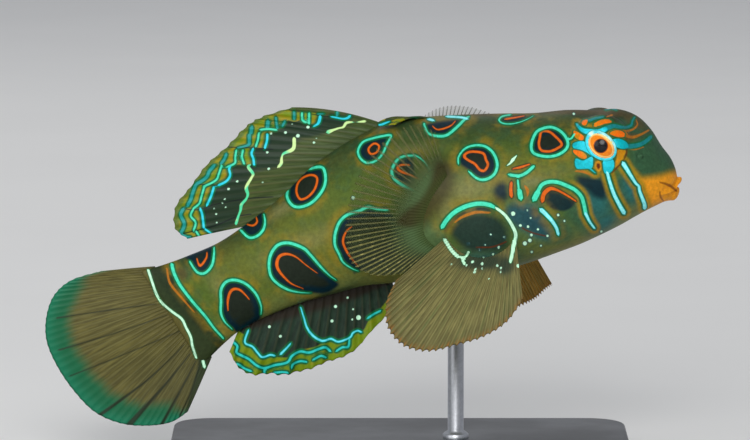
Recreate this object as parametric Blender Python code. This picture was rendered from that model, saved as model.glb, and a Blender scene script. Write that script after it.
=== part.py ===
"""A spotted mandarinfish as a still, life-size model on a plain display stand.

Sizes are in millimetres until a mesh is made. x runs from tail to head, y away from
the side that is looked at, z up from the underside of the stand. The side profile
is measured from a datum behind the tail, and DATUM_X is where the stand's middle is.
"""

import math

import bmesh
import bpy
from mathutils import Matrix, Vector
from mathutils.bvhtree import BVHTree

MM = 0.001
GAP = 0.3
DATUM_X = 40.0

# Stations of the body from snout to tail: back x, back z, belly x, belly z, half width.
STATIONS = (
    (67.7, 29.3, 67.1, 27.0, 1.2),
    (67.5, 30.2, 66.4, 26.9, 2.1),
    (67.0, 31.3, 65.5, 26.5, 2.9),
    (66.1, 32.5, 64.5, 26.0, 3.6),
    (65.0, 34.2, 63.4, 25.4, 4.3),
    (63.6, 35.5, 62.0, 24.6, 5.0),
    (61.7, 36.15, 60.2, 23.7, 5.6),
    (59.4, 36.05, 58.0, 22.7, 6.1),
    (56.5, 36.05, 55.6, 21.8, 6.4),
    (53.4, 35.75, 52.8, 20.8, 6.6),
    (50.0, 35.7, 50.3, 20.1, 6.7),
    (46.5, 35.6, 47.8, 19.7, 6.6),
    (43.0, 35.4, 45.5, 19.4, 6.3),
    (39.2, 35.0, 43.0, 19.1, 5.9),
    (36.5, 33.8, 40.8, 18.9, 5.4),
    (34.0, 32.4, 38.8, 18.7, 4.9),
    (31.0, 30.2, 36.2, 18.4, 4.3),
    (28.3, 27.5, 33.4, 17.6, 3.7),
    (25.1, 24.9, 30.2, 16.7, 3.1),
    (21.9, 22.7, 26.7, 15.3, 2.5),
    (19.0, 21.4, 24.1, 13.9, 1.9),
    (16.8, 20.7, 22.4, 12.5, 1.3),
    (15.0, 20.2, 20.7, 10.8, 0.75),
)
HEAD_CUT = 9.3
TAIL_CUT = 13.0
RINGS_PER_STATION = 2
RING_POINTS = 28
WIDEST_SKEW = 0.85
BACK_ROUNDNESS = 0.95
BELLY_ROUNDNESS = 0.78

# The tail swings a little away from the looked-at side.
SWAY = 2.0
SWAY_FROM_X = 40.0
SWAY_LENGTH = 35.0

# The eyes stand in two turrets on top of the head.
EYE = (60.1, 4.2, 33.0)
EYE_RADIUS = 1.7
TURRET = (60.0, 3.4, 33.05)
TURRET_SIZE = (2.95, 2.35, 2.9)

# Each lip runs from its middle to its corner: x, z, half width, radius.
UPPER_LIP = ((67.6, 28.95, 0.0, 0.48), (67.2, 28.9, 0.95, 0.45), (66.2, 28.6, 1.6, 0.3))
LOWER_LIP = ((67.1, 27.5, 0.0, 0.5), (66.75, 27.6, 0.9, 0.46), (66.0, 27.95, 1.5, 0.3))
LIP_POINTS = 9
NOSTRIL = (63.9, 31.9)
NOSTRIL_RIM = 0.36
NOSTRIL_PIT = 0.17
GILL_PORE = (51.1, 31.6)
GILL_PORE_SIZE = (0.75, 0.5, 0.3)

# The fleshy lobe at the root of each pelvic fin.
LOBE = (48.0, 5.3, 25.3)
LOBE_SIZE = (3.9, 2.1, 3.6)

MEMBRANE = 0.5
TIP_THICKNESS = 0.3
ROOT_LIFT = 0.1

# Rays of the single fins: place on the body counted in stations, tip x, tip z.
DORSAL_RAYS = (
    (13.1, 29.2, 36.3),
    (13.7, 26.3, 35.4),
    (14.3, 24.6, 34.4),
    (15.0, 22.7, 32.4),
    (15.6, 20.6, 30.5),
    (16.2, 19.0, 28.3),
    (16.8, 17.5, 26.3),
    (17.4, 17.4, 24.1),
    (18.0, 18.7, 23.0),
)
ANAL_RAYS = (
    (15.0, 39.3, 16.6),
    (15.6, 37.6, 14.2),
    (16.2, 35.2, 11.6),
    (16.9, 32.5, 10.5),
    (17.6, 29.7, 9.5),
    (18.3, 26.8, 9.3),
    (19.1, 24.2, 9.6),
    (19.9, 22.9, 11.6),
)
CAUDAL_TIPS = (
    (10.0, 19.8),
    (7.2, 18.9),
    (5.4, 17.3),
    (4.6, 14.9),
    (4.6, 12.4),
    (5.6, 9.9),
    (7.2, 7.4),
    (9.3, 5.3),
    (11.9, 4.2),
    (14.6, 4.0),
    (17.0, 4.4),
    (18.7, 5.5),
)
# The short first dorsal fin lies folded: root x, tip x, tip y.
SPINES = ((43.6, 39.6, -2.3), (43.0, 38.4, -2.1), (42.3, 37.8, -1.7), (41.5, 37.7, -1.2))
SPINE_LIFT = 0.75
SPINE_ARCH = 0.2

# Where lines that look for the skin start: far to one side, and far above.
BESIDE_Y = 40.0
ABOVE_Z = 80.0

# Rays of the paired fins: root x, root z, then tip x, tip y and tip z.
PECTORAL_ROOTS = (
    (44.6, 30.0),
    (44.1, 29.2),
    (43.5, 28.3),
    (43.0, 27.3),
    (42.6, 26.3),
    (42.4, 25.3),
    (42.5, 24.4),
    (42.9, 23.6),
    (43.5, 23.0),
)
PECTORAL_TIPS_RIGHT = (
    (43.4, -8.2, 34.9),
    (40.6, -8.8, 35.4),
    (37.6, -9.3, 33.2),
    (35.7, -9.7, 30.2),
    (34.7, -9.9, 27.0),
    (34.6, -10.0, 24.2),
    (35.2, -9.8, 21.9),
    (37.4, -9.2, 20.6),
    (40.4, -8.6, 20.7),
)
PECTORAL_TIPS_LEFT = (
    (49.7, 11.5, 34.4),
    (47.0, 12.0, 35.2),
    (44.1, 12.1, 35.1),
    (41.6, 12.3, 33.5),
    (39.9, 12.4, 31.0),
    (39.0, 12.3, 28.0),
    (38.9, 12.0, 25.2),
    (39.7, 11.4, 22.8),
    (41.3, 10.6, 21.2),
)
# A pelvic fin's rays leave the lobe's lower edge between these two bearings.
PELVIC_FROM_DEG = 12.0
PELVIC_TO_DEG = 148.0
PELVIC_REACH = 0.93
PELVIC_TIPS_RIGHT = (
    (52.1, -8.8, 18.1),
    (50.5, -9.7, 16.0),
    (48.2, -10.3, 14.6),
    (45.5, -10.6, 13.8),
    (42.8, -10.7, 13.2),
    (40.3, -10.5, 13.7),
    (38.7, -10.1, 15.5),
    (39.0, -9.6, 17.8),
    (40.4, -9.2, 19.3),
)
PELVIC_TIPS_LEFT = (
    (55.6, 10.0, 17.1),
    (54.9, 10.6, 16.5),
    (54.0, 11.0, 15.6),
    (53.0, 11.3, 15.0),
    (51.5, 11.5, 14.4),
    (49.8, 11.5, 14.1),
    (47.9, 11.2, 14.4),
    (46.2, 10.6, 15.6),
    (45.4, 9.8, 17.4),
)
PAIRED_BOW = 0.5
SINGLE_BOW = 0.5
# The front rays of the second dorsal fin arch up by this, less on each next ray.
DORSAL_ARCH = 1.0
ARCH_FADE = 0.3

# Ridges across a fin, steps between two ridges, steps out along a ray, ridge height.
DORSAL_DETAIL = (17, 2, 7, 0.12)
ANAL_DETAIL = (15, 2, 6, 0.12)
CAUDAL_DETAIL = (23, 2, 7, 0.12)
SPINE_DETAIL = (4, 4, 4, 0.14)
PECTORAL_DETAIL = (25, 2, 6, 0.1)
PELVIC_DETAIL = (21, 2, 6, 0.12)
# How far the margin draws back between two ridges, as a share of the ray.
NOTCH = 0.03

STAND_SIZE = (46.0, 26.0, 3.0)
STAND_CORNER = 4.0
STAND_EDGE = 0.4
CORNER_STEPS = 6
EDGE_STEPS = 2
ROD_SIDES = 20
ROD_X = 45.6
ROD_RADIUS = 0.8

SHARP_ANGLE = 40.0
SKIN = (0.13, 0.15, 0.04)
EYE_COLOUR = (0.80, 0.28, 0.02)
FIN_COLOUR = (0.19, 0.18, 0.07)
ANAL_COLOUR = (0.03, 0.09, 0.07)
CAUDAL_COLOUR = (0.12, 0.11, 0.05)
LEFT_PELVIC_COLOUR = (0.16, 0.08, 0.02)
STAND_COLOUR = (0.05, 0.05, 0.05)
STEEL = (0.55, 0.55, 0.56)


def blend(values, place):
    """A smooth curve through values, read at a place counted in values."""
    last = len(values) - 1
    i = min(int(place), last - 1)
    t = place - i
    a, b = values[max(i - 1, 0)], values[i]
    c, d = values[i + 1], values[min(i + 2, last)]
    return b + 0.5 * t * (c - a + t * (2 * a - 5 * b + 4 * c - d + t * (3 * (b - c) + d - a)))


def station(place):
    """Back point, belly point and half width at a place counted in stations."""
    values = [blend([row[i] for row in STATIONS], place) for i in range(5)]
    back = Vector((values[0], 0.0, values[1]))
    belly = Vector((values[2], 0.0, values[3]))
    return back, belly, values[4]


def sway(x):
    """How far the body's middle is swung to the far side at x."""
    return SWAY * (max(SWAY_FROM_X - x, 0.0) / SWAY_LENGTH) ** 2


def section_point(place, angle):
    """A point of the body's skin, angle 0 at the back and pi at the belly."""
    back, belly, half_width = station(place)
    down = ((1 - math.cos(angle)) / 2) ** WIDEST_SKEW
    side = math.sin(angle)
    power = BACK_ROUNDNESS if math.cos(angle) > 0 else BELLY_ROUNDNESS
    point = back.lerp(belly, down)
    point.y = sway(point.x) + math.copysign(abs(side) ** power, side) * half_width
    return point


def to_world(point):
    """A point of the side profile, in metres from the stand's middle."""
    return Vector((point[0] - DATUM_X, point[1], point[2])) * MM


def new_collection(name):
    made = bpy.data.collections.new(name)
    bpy.context.scene.collection.children.link(made)
    return made


def clear_scene():
    for old in list(bpy.data.objects):
        bpy.data.objects.remove(old, do_unlink=True)


def make_object(name, edit, collection):
    """An object whose mesh is what is in a bmesh."""
    mesh = bpy.data.meshes.new(name)
    edit.to_mesh(mesh)
    edit.free()
    made = bpy.data.objects.new(name, mesh)
    collection.objects.link(made)
    return made


def finish(made, colour, roughness=0.45, metallic=0.0):
    """Smooth shading and a material of the object's own."""
    made.data.shade_smooth()
    made.data.set_sharp_from_angle(angle=math.radians(SHARP_ANGLE))
    material = bpy.data.materials.new(made.name + "_finish")
    material.use_nodes = True
    shader = material.node_tree.nodes["Principled BSDF"]
    shader.inputs["Base Color"].default_value = (*colour, 1.0)
    shader.inputs["Roughness"].default_value = roughness
    shader.inputs["Metallic"].default_value = metallic
    made.data.materials.clear()
    made.data.materials.append(material)
    return made


def loft(rings):
    """A closed bmesh through rings of points, capped at both ends."""
    edit = bmesh.new()
    rows = [[edit.verts.new(to_world(point)) for point in ring] for ring in rings]
    count = len(rows[0])
    for first, second in zip(rows, rows[1:]):
        for i in range(count):
            j = (i + 1) % count
            edit.faces.new((first[i], first[j], second[j], second[i]))
    edit.faces.new(rows[0])
    edit.faces.new(rows[-1])
    bmesh.ops.recalc_face_normals(edit, faces=edit.faces)
    return edit


def body_loft():
    """The whole body from snout to tail root as one closed surface."""
    steps = (len(STATIONS) - 1) * RINGS_PER_STATION
    angles = [2 * math.pi * k / RING_POINTS for k in range(RING_POINTS)]
    places = [i / RINGS_PER_STATION for i in range(steps + 1)]
    return loft([[section_point(place, angle) for angle in angles] for place in places])


def trim(edit, place, keep_front):
    """Cut a body off square to its section, half a gap short of the cut."""
    back, belly, _ = station(place)
    down = (belly - back).normalized()
    forward = Vector((-down.z, 0.0, down.x))
    shift = GAP / 2 if keep_front else -GAP / 2
    cut = bmesh.ops.bisect_plane(
        edit,
        geom=edit.verts[:] + edit.edges[:] + edit.faces[:],
        dist=1e-7,
        plane_co=to_world(back + forward * shift),
        plane_no=forward,
        clear_inner=keep_front,
        clear_outer=not keep_front,
    )
    rim = [item for item in cut["geom_cut"] if isinstance(item, bmesh.types.BMEdge)]
    bmesh.ops.contextual_create(edit, geom=rim)
    bmesh.ops.recalc_face_normals(edit, faces=edit.faces)


def ball(name, centre, size, collection, segments=20, rings=12):
    """An ellipsoid with the given half sizes."""
    edit = bmesh.new()
    bmesh.ops.create_uvsphere(edit, u_segments=segments, v_segments=rings, radius=MM)
    place = Matrix.Translation(to_world(centre)) @ Matrix.Diagonal((*size, 1.0))
    bmesh.ops.transform(edit, matrix=place, verts=edit.verts)
    return make_object(name, edit, collection)


def on_side(point, side):
    """A point given for the far side, moved to the side wanted."""
    return (point[0], point[1] * side, point[2])


def lip(name, line, collection):
    """A tube round the front of the mouth, from corner to corner."""
    half = [(x, width, z, radius) for x, z, width, radius in line]
    whole = [(x, -width, z, radius) for x, width, z, radius in reversed(half)] + half[1:]
    curve = bpy.data.curves.new(name, "CURVE")
    curve.dimensions = "3D"
    curve.bevel_depth = MM
    curve.bevel_resolution = 2
    curve.use_fill_caps = True
    spline = curve.splines.new("POLY")
    spline.points.add(LIP_POINTS - 1)
    for i, point in enumerate(spline.points):
        place = i * (len(whole) - 1) / (LIP_POINTS - 1)
        x, y, z, radius = [blend([row[k] for row in whole], place) for k in range(4)]
        point.co = (*to_world((x, y, z)), 1.0)
        point.radius = radius
    guide = bpy.data.objects.new(name + "_guide", curve)
    collection.objects.link(guide)
    made = bpy.data.objects.new(name, evaluated_mesh(guide))
    edit = bmesh.new()
    edit.from_mesh(made.data)
    bmesh.ops.remove_doubles(edit, verts=edit.verts, dist=1e-6)
    bmesh.ops.recalc_face_normals(edit, faces=edit.faces)
    edit.to_mesh(made.data)
    edit.free()
    collection.objects.link(made)
    bpy.data.objects.remove(guide, do_unlink=True)


def evaluated_mesh(made):
    bpy.context.view_layer.update()
    graph = bpy.context.evaluated_depsgraph_get()
    return bpy.data.meshes.new_from_object(made.evaluated_get(graph))


def combine(made, pieces, operation):
    """Join or cut an object with all of a collection, which is then removed."""
    boolean = made.modifiers.new(operation.lower(), "BOOLEAN")
    boolean.operation = operation
    boolean.operand_type = "COLLECTION"
    boolean.collection = pieces
    boolean.solver = "EXACT"
    mesh = evaluated_mesh(made)
    made.modifiers.clear()
    made.data = mesh
    keep_largest(made)
    for piece in list(pieces.objects):
        bpy.data.objects.remove(piece, do_unlink=True)
    bpy.data.collections.remove(pieces)


def islands(edit):
    """The separate closed surfaces in a bmesh, as lists of faces."""
    left = set(edit.faces)
    while left:
        found, front = [], [left.pop()]
        while front:
            face = front.pop()
            found.append(face)
            near = {other for edge in face.edges for other in edge.link_faces} & left
            left -= near
            front.extend(near)
        yield found


def keep_largest(made):
    """Keep only the closed surface with the largest area."""
    edit = bmesh.new()
    edit.from_mesh(made.data)
    groups = sorted(islands(edit), key=lambda faces: sum(f.calc_area() for f in faces))
    for faces in groups[:-1]:
        bmesh.ops.delete(edit, geom=faces, context="FACES")
    edit.to_mesh(made.data)
    edit.free()


def make_head(collection):
    edit = body_loft()
    trim(edit, HEAD_CUT, keep_front=True)
    head = make_object("head", edit, collection)
    added = new_collection("head_pieces")
    lip("upper_lip", UPPER_LIP, added)
    lip("lower_lip", LOWER_LIP, added)
    for side in (-1, 1):
        ball("turret", on_side(TURRET, side), TURRET_SIZE, added)
        nostril = skin_point(head, *NOSTRIL, side)
        ball("nostril", nostril, [NOSTRIL_RIM] * 3, added, 10, 8)
    combine(head, added, "UNION")
    cutters = new_collection("head_cutters")
    for side in (-1, 1):
        socket = [EYE_RADIUS + GAP] * 3
        ball("socket", on_side(EYE, side), socket, cutters)
        nostril = skin_point(head, *NOSTRIL, side)
        ball("nostril_pit", nostril, [NOSTRIL_PIT] * 3, cutters, 8, 6)
    combine(head, cutters, "DIFFERENCE")
    return finish(head, SKIN)


def make_trunk(collection):
    edit = body_loft()
    trim(edit, HEAD_CUT, keep_front=False)
    trim(edit, TAIL_CUT, keep_front=True)
    trunk = make_object("trunk", edit, collection)
    added = new_collection("trunk_pieces")
    for side in (-1, 1):
        ball("lobe", on_side(LOBE, side), LOBE_SIZE, added)
    combine(trunk, added, "UNION")
    cutters = new_collection("trunk_cutters")
    for side in (-1, 1):
        ball("gill_pore", skin_point(trunk, *GILL_PORE, side), GILL_PORE_SIZE, cutters, 12, 8)
    combine(trunk, cutters, "DIFFERENCE")
    return finish(trunk, SKIN)


def make_tail_stem(collection):
    edit = body_loft()
    trim(edit, TAIL_CUT, keep_front=False)
    return finish(make_object("tail_stem", edit, collection), SKIN)


def make_eyes(collection):
    for name, side in (("eye_right", -1), ("eye_left", 1)):
        eye = ball(name, on_side(EYE, side), [EYE_RADIUS] * 3, collection)
        finish(eye, EYE_COLOUR, 0.08)


def tree_of(*nodes):
    """One search tree over the faces of some nodes."""
    edit = bmesh.new()
    for node in nodes:
        edit.from_mesh(node.data)
    tree = BVHTree.FromBMesh(edit)
    edit.free()
    return tree


def skin_hit(tree, origin, way):
    """Where a line meets the skin, and the skin's normal there, in profile sizes."""
    place, normal, _, _ = tree.ray_cast(to_world(origin), Vector(way))
    if place is None:
        raise ValueError(f"no skin along {way} from {origin}")
    return Vector((place.x / MM + DATUM_X, place.y / MM, place.z / MM)), normal


def skin_point(node, x, z, side):
    """The point on one side of a node's skin at x and z."""
    return skin_hit(tree_of(node), (x, BESIDE_Y * side, z), (0.0, -side, 0.0))[0]


def bezier(root, bow, tip, t):
    return root * (1 - t) ** 2 + bow * (2 * t * (1 - t)) + tip * t ** 2


def fan_grid(rays, columns, rows, steps):
    """Middle points of a fin, one list from root to margin for each column."""
    grid = []
    for i in range(columns + 1):
        place = i * (len(rays) - 1) / columns
        root, bow, tip = [blend([ray[k] for ray in rays], place) for k in range(3)]
        reach = 1 - NOTCH * (1 - crest(i, steps))
        grid.append([bezier(root, bow, tip, reach * j / rows) for j in range(rows + 1)])
    return grid


def crest(i, steps):
    """1 on a ridge and 0 midway between two."""
    return abs(2 * (i % steps) / steps - 1)


def fan_normal(grid, i, j):
    """The direction square to a fin at one of its middle points."""
    across = grid[min(i + 1, len(grid) - 1)][j] - grid[max(i - 1, 0)][j]
    along = grid[i][min(j + 1, len(grid[i]) - 1)] - grid[i][max(j - 1, 0)]
    return across.cross(along).normalized()


def fan_face(edit, grid, steps, ridge, side):
    """The points of one face of a fin, thick on its ridges and thin at its margin."""
    face = []
    for i, column in enumerate(grid):
        rows = len(column) - 1
        line = []
        for j, point in enumerate(column):
            half = (MEMBRANE + (TIP_THICKNESS - MEMBRANE) * j / rows) / 2
            half += ridge * crest(i, steps) * (1 - j / rows)
            line.append(edit.verts.new(to_world(point + side * half * fan_normal(grid, i, j))))
        face.append(line)
    return face


def make_fan(name, rays, detail, collection):
    """A closed fin through rays of root, bow and tip points.

    The rays give its shape, and the ridges divide it evenly.
    """
    ridges, steps, rows, ridge = detail
    columns = (ridges - 1) * steps
    grid = fan_grid(rays, columns, rows, steps)
    edit = bmesh.new()
    near = fan_face(edit, grid, steps, ridge, 1)
    far = fan_face(edit, grid, steps, ridge, -1)
    for i in range(columns):
        for j in range(rows):
            for face in (near, far):
                a, b, c, d = face[i][j], face[i + 1][j], face[i + 1][j + 1], face[i][j + 1]
                edit.faces.new((a, b, c))
                edit.faces.new((a, c, d))
        for j in (0, rows):
            edit.faces.new((near[i][j], near[i + 1][j], far[i + 1][j], far[i][j]))
    for i in (0, columns):
        for j in range(rows):
            edit.faces.new((near[i][j], near[i][j + 1], far[i][j + 1], far[i][j]))
    bmesh.ops.recalc_face_normals(edit, faces=edit.faces)
    return make_object(name, edit, collection)


def ray(root, tip, bow):
    """Root, bow and tip of a ray that bends by bow at its middle."""
    return (root, (root + tip) / 2 + bow, tip)


def edge_root(place, from_belly):
    """A point just off the back or the belly, where a single fin grows."""
    back, belly, _ = station(place)
    out = (belly - back).normalized() if from_belly else (back - belly).normalized()
    root = (belly if from_belly else back) + out * (GAP + ROOT_LIFT)
    root.y = sway(root.x)
    return root


def make_single_fin(name, table, from_belly, arch, detail, collection):
    rays = []
    for i, (place, x, z) in enumerate(table):
        tip = Vector((x, sway(x), z))
        bow = Vector((0.0, SINGLE_BOW * math.sin(i), arch * ARCH_FADE ** i))
        rays.append(ray(edge_root(place, from_belly), tip, bow))
    return make_fan(name, rays, detail, collection)


def make_caudal(collection):
    back, belly, _ = station(len(STATIONS) - 1)
    down = belly - back
    rearward = Vector((down.z, 0.0, -down.x)).normalized()
    rays = []
    for i, (x, z) in enumerate(CAUDAL_TIPS):
        share = i / (len(CAUDAL_TIPS) - 1)
        root = back.lerp(belly, share) + rearward * (GAP + ROOT_LIFT)
        root.y = sway(root.x)
        tip = Vector((x, sway(x), z))
        rays.append(ray(root, tip, Vector((0.0, SINGLE_BOW * math.sin(i), 0.0))))
    fin = make_fan("fin_caudal", rays, CAUDAL_DETAIL, collection)
    return finish(fin, CAUDAL_COLOUR)


def over_back(tree, x, y, lift):
    """A point at a height over the back, seen from above."""
    place = skin_hit(tree, (x, y, ABOVE_Z), (0.0, 0.0, -1.0))[0]
    return place + Vector((0.0, 0.0, lift))


def make_first_dorsal(tree, collection):
    rays = []
    for root_x, tip_x, tip_y in SPINES:
        root = over_back(tree, root_x, 0.0, GAP + ROOT_LIFT)
        tip = over_back(tree, tip_x, tip_y, SPINE_LIFT)
        middle = over_back(tree, (root_x + tip_x) / 2, tip_y / 2, SPINE_LIFT + SPINE_ARCH)
        rays.append((root, middle, tip))
    fin = make_fan("fin_dorsal_first", rays, SPINE_DETAIL, collection)
    return finish(fin, FIN_COLOUR)


def pectoral_roots(tree, side):
    """Where the pectoral rays leave the flank, with the flank's normals."""
    return [skin_hit(tree, (x, BESIDE_Y * side, z), (0.0, -side, 0.0)) for x, z in PECTORAL_ROOTS]


def pelvic_roots(side):
    """Where the pelvic rays leave the lower edge of their lobe, with its normals."""
    count = len(PELVIC_TIPS_RIGHT)
    turn = math.radians(PELVIC_TO_DEG - PELVIC_FROM_DEG) / (count - 1)
    bulge = math.sqrt(1 - PELVIC_REACH ** 2)
    roots = []
    for i in range(count):
        bearing = math.radians(PELVIC_FROM_DEG) + i * turn
        share = (PELVIC_REACH * math.cos(bearing), bulge, -PELVIC_REACH * math.sin(bearing))
        point = [LOBE[k] + LOBE_SIZE[k] * share[k] for k in range(3)]
        normal = Vector([share[k] / LOBE_SIZE[k] for k in range(3)]).normalized()
        roots.append((Vector(on_side(point, side)), Vector(on_side(normal, side))))
    return roots


def make_paired_fin(name, roots, tips, detail, colour, collection):
    rays = []
    for (skin, normal), tip in zip(roots, tips):
        root = skin + normal * (GAP + MEMBRANE / 2 + ROOT_LIFT)
        rays.append(ray(root, Vector(tip), Vector((0.0, math.copysign(PAIRED_BOW, tip[1]), 0.0))))
    return finish(make_fan(name, rays, detail, collection), colour)


def make_fins(body, collection):
    tree = tree_of(*body)
    make_first_dorsal(tree, collection)
    dorsal = make_single_fin("fin_dorsal_second", DORSAL_RAYS, False, DORSAL_ARCH,
                             DORSAL_DETAIL, collection)
    finish(dorsal, FIN_COLOUR)
    anal = make_single_fin("fin_anal", ANAL_RAYS, True, 0.0, ANAL_DETAIL, collection)
    finish(anal, ANAL_COLOUR)
    make_caudal(collection)
    for name, side, tips in (
        ("fin_pectoral_right", -1, PECTORAL_TIPS_RIGHT),
        ("fin_pectoral_left", 1, PECTORAL_TIPS_LEFT),
    ):
        roots = pectoral_roots(tree, side)
        make_paired_fin(name, roots, tips, PECTORAL_DETAIL, FIN_COLOUR, collection)
    for name, side, tips, colour in (
        ("fin_pelvic_right", -1, PELVIC_TIPS_RIGHT, FIN_COLOUR),
        ("fin_pelvic_left", 1, PELVIC_TIPS_LEFT, LEFT_PELVIC_COLOUR),
    ):
        make_paired_fin(name, pelvic_roots(side), tips, PELVIC_DETAIL, colour, collection)
    return tree


def make_stand(tree, collection):
    """A flat base with round corners, and one rod up to the belly."""
    length, width, height = STAND_SIZE
    edit = bmesh.new()
    bmesh.ops.create_cube(edit, size=1.0)
    place = Matrix.Translation(to_world((DATUM_X, 0.0, height / 2)))
    size = Matrix.Diagonal((length * MM, width * MM, height * MM, 1.0))
    bmesh.ops.transform(edit, matrix=place @ size, verts=edit.verts)
    upright = [edge for edge in edit.edges if abs(edge.verts[0].co.z - edge.verts[1].co.z) > MM]
    bmesh.ops.bevel(edit, geom=upright, offset=STAND_CORNER * MM, segments=CORNER_STEPS,
                    profile=0.5, affect="EDGES", material=-1)
    brim = (height - STAND_EDGE / 2) * MM
    top = [edge for edge in edit.edges if min(v.co.z for v in edge.verts) > brim]
    bmesh.ops.bevel(edit, geom=top, offset=STAND_EDGE * MM, segments=EDGE_STEPS,
                    profile=0.5, affect="EDGES", material=-1)
    finish(make_object("stand_base", edit, collection), STAND_COLOUR, 0.35)
    belly = skin_hit(tree, (ROD_X, 0.0, height), (0.0, 0.0, 1.0))[0].z
    low, high = height + GAP, belly - GAP
    edit = bmesh.new()
    bmesh.ops.create_cone(edit, cap_ends=True, segments=ROD_SIDES, radius1=ROD_RADIUS * MM,
                          radius2=ROD_RADIUS * MM, depth=(high - low) * MM)
    place = Matrix.Translation(to_world((ROD_X, 0.0, (low + high) / 2)))
    bmesh.ops.transform(edit, matrix=place, verts=edit.verts)
    finish(make_object("stand_rod", edit, collection), STEEL, 0.3, 1.0)


def main():
    clear_scene()
    fish = new_collection("spotted_mandarinfish")
    body = [make_head(fish), make_trunk(fish), make_tail_stem(fish)]
    make_eyes(fish)
    tree = make_fins(body, fish)
    make_stand(tree, fish)


main()
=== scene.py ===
"""The looks of a museum model of a spotted mandarinfish on a flat stand.

One skin covers the head, the trunk and the tail stem. The eyes, the fins and
the stand are pieces of their own. Lengths in this file are millimetres of the
side profile until a mesh is made: x runs to the snout, y to the far side and
z up. Marks are given where the camera sees them, in tenths of a millimetre
from the upper left corner of its frame.
"""

import math

import bmesh
import bpy
import numpy as np
from bpy.props import FloatProperty, FloatVectorProperty, IntProperty, PointerProperty
from mathutils import Matrix, Vector, kdtree
from mathutils.bvhtree import BVHTree


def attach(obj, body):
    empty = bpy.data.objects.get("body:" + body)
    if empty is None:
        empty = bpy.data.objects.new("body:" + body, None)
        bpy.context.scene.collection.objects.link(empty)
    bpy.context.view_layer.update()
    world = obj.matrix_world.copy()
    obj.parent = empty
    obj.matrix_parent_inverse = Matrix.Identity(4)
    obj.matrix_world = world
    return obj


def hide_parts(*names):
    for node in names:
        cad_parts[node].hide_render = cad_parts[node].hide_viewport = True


bl_info = {
    "name": "Spotted Mandarinfish Model",
    "version": (1, 0, 0),
    "blender": (4, 5, 0),
    "location": "3D View > Sidebar > Mandarinfish",
    "description": "Skin, eyes, fins, stand and stage of a mandarinfish model",
    "category": "Object",
}

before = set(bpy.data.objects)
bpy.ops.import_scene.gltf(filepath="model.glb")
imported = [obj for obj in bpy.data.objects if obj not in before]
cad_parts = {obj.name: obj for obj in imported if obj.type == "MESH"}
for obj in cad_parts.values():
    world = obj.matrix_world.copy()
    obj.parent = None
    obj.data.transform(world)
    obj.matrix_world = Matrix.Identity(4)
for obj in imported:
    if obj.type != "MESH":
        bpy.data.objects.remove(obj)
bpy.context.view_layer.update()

MM = 0.001
DATUM_X = 40.0

# The photo's camera, its frame, and the steps and reach of distances to marks.
CAMERA_TILT = math.radians(7.0)
CAMERA_DISTANCE = 600.0
LOOK_AT = np.array((37.5, 0.0, 25.0))
LENS = 288.0
SENSOR = 36.0
FRAME_WIDTH = 750.0
FRAME_MIDDLE = (375.0, 220.0)
FRAME_STEP = SENSOR / LENS / FRAME_WIDTH
FRAME_PER_MM = 10
LINE_STEP = 0.4
OUTLINE_STEP = 2.5
FIELD_LIMIT = 3.0
DEPTH_SHARE = 0.15
MARK_BLUR = 0.07

# Body stations, snout to tail: back x, back z, belly x, belly z, half width.
STATIONS = (
    (67.7, 29.3, 67.1, 27.0, 1.2),
    (67.5, 30.2, 66.4, 26.9, 2.1),
    (67.0, 31.3, 65.5, 26.5, 2.9),
    (66.1, 32.5, 64.5, 26.0, 3.6),
    (65.0, 34.2, 63.4, 25.4, 4.3),
    (63.6, 35.5, 62.0, 24.6, 5.0),
    (61.7, 36.15, 60.2, 23.7, 5.6),
    (59.4, 36.05, 58.0, 22.7, 6.1),
    (56.5, 36.05, 55.6, 21.8, 6.4),
    (53.4, 35.75, 52.8, 20.8, 6.6),
    (50.0, 35.7, 50.3, 20.1, 6.7),
    (46.5, 35.6, 47.8, 19.7, 6.6),
    (43.0, 35.4, 45.5, 19.4, 6.3),
    (39.2, 35.0, 43.0, 19.1, 5.9),
    (36.5, 33.8, 40.8, 18.9, 5.4),
    (34.0, 32.4, 38.8, 18.7, 4.9),
    (31.0, 30.2, 36.2, 18.4, 4.3),
    (28.3, 27.5, 33.4, 17.6, 3.7),
    (25.1, 24.9, 30.2, 16.7, 3.1),
    (21.9, 22.7, 26.7, 15.3, 2.5),
    (19.0, 21.4, 24.1, 13.9, 1.9),
    (16.8, 20.55, 22.4, 12.5, 1.3),
    (15.0, 19.95, 20.7, 10.8, 0.75),
)
WIDEST_SKEW = 0.85
BACK_ROUNDNESS = 0.95
BELLY_ROUNDNESS = 0.78
# Rings stand closer up to this station, and the head's colours fade out over these x.
HEAD_PLACE = 9.3
HEAD_DENSITY = 0.9
HEAD_FADE_X = (55.5, 58.5)
# The tail's swing to the far side, and the rings that close its end.
SWAY = 2.0
SWAY_FROM_X = 40.0
SWAY_LENGTH = 35.0
TAIL_STEPS = (0.25, 0.5, 0.7, 0.85, 0.95, 1.0)
TAIL_REACH = 0.9
TAIL_DROP = 0.2
# Where the skin has no small forms: the tail's last rings, and along the body's middle.
SMOOTH_TAIL_RINGS = 9
MIDDLE_STRIP = 0.6

# Mouth: a slit between two rolled lips, and its corners on the cheeks.
SLIT_X = 67.6
SLIT_Z = 28.45
SLIT_HALF_WIDTH = 1.15
SLIT_HALF_HEIGHT = 0.08
CORNER_BACK = 0.75
CORNER_DROP = 0.25
LIP_BULGE = 0.5
LIP_FULLNESS = (0.55, 0.45)
LIP_SPREAD = 0.25
LIP_ROUNDNESS = 0.7
UPPER_LIP = 0.32
LOWER_LIP = 0.12
MOUTH_DEPTH = 1.2
MOUTH_SINK = 0.3
MOUTH_OPEN = 0.9
MOUTH_RINGS = 30
MOUTH_LINE_X = (66.2, 67.1)
MOUTH_LINE_Z = (27.95, 28.25)
MOUTH_LINE_FADE = (66.0, 66.35)

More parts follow.
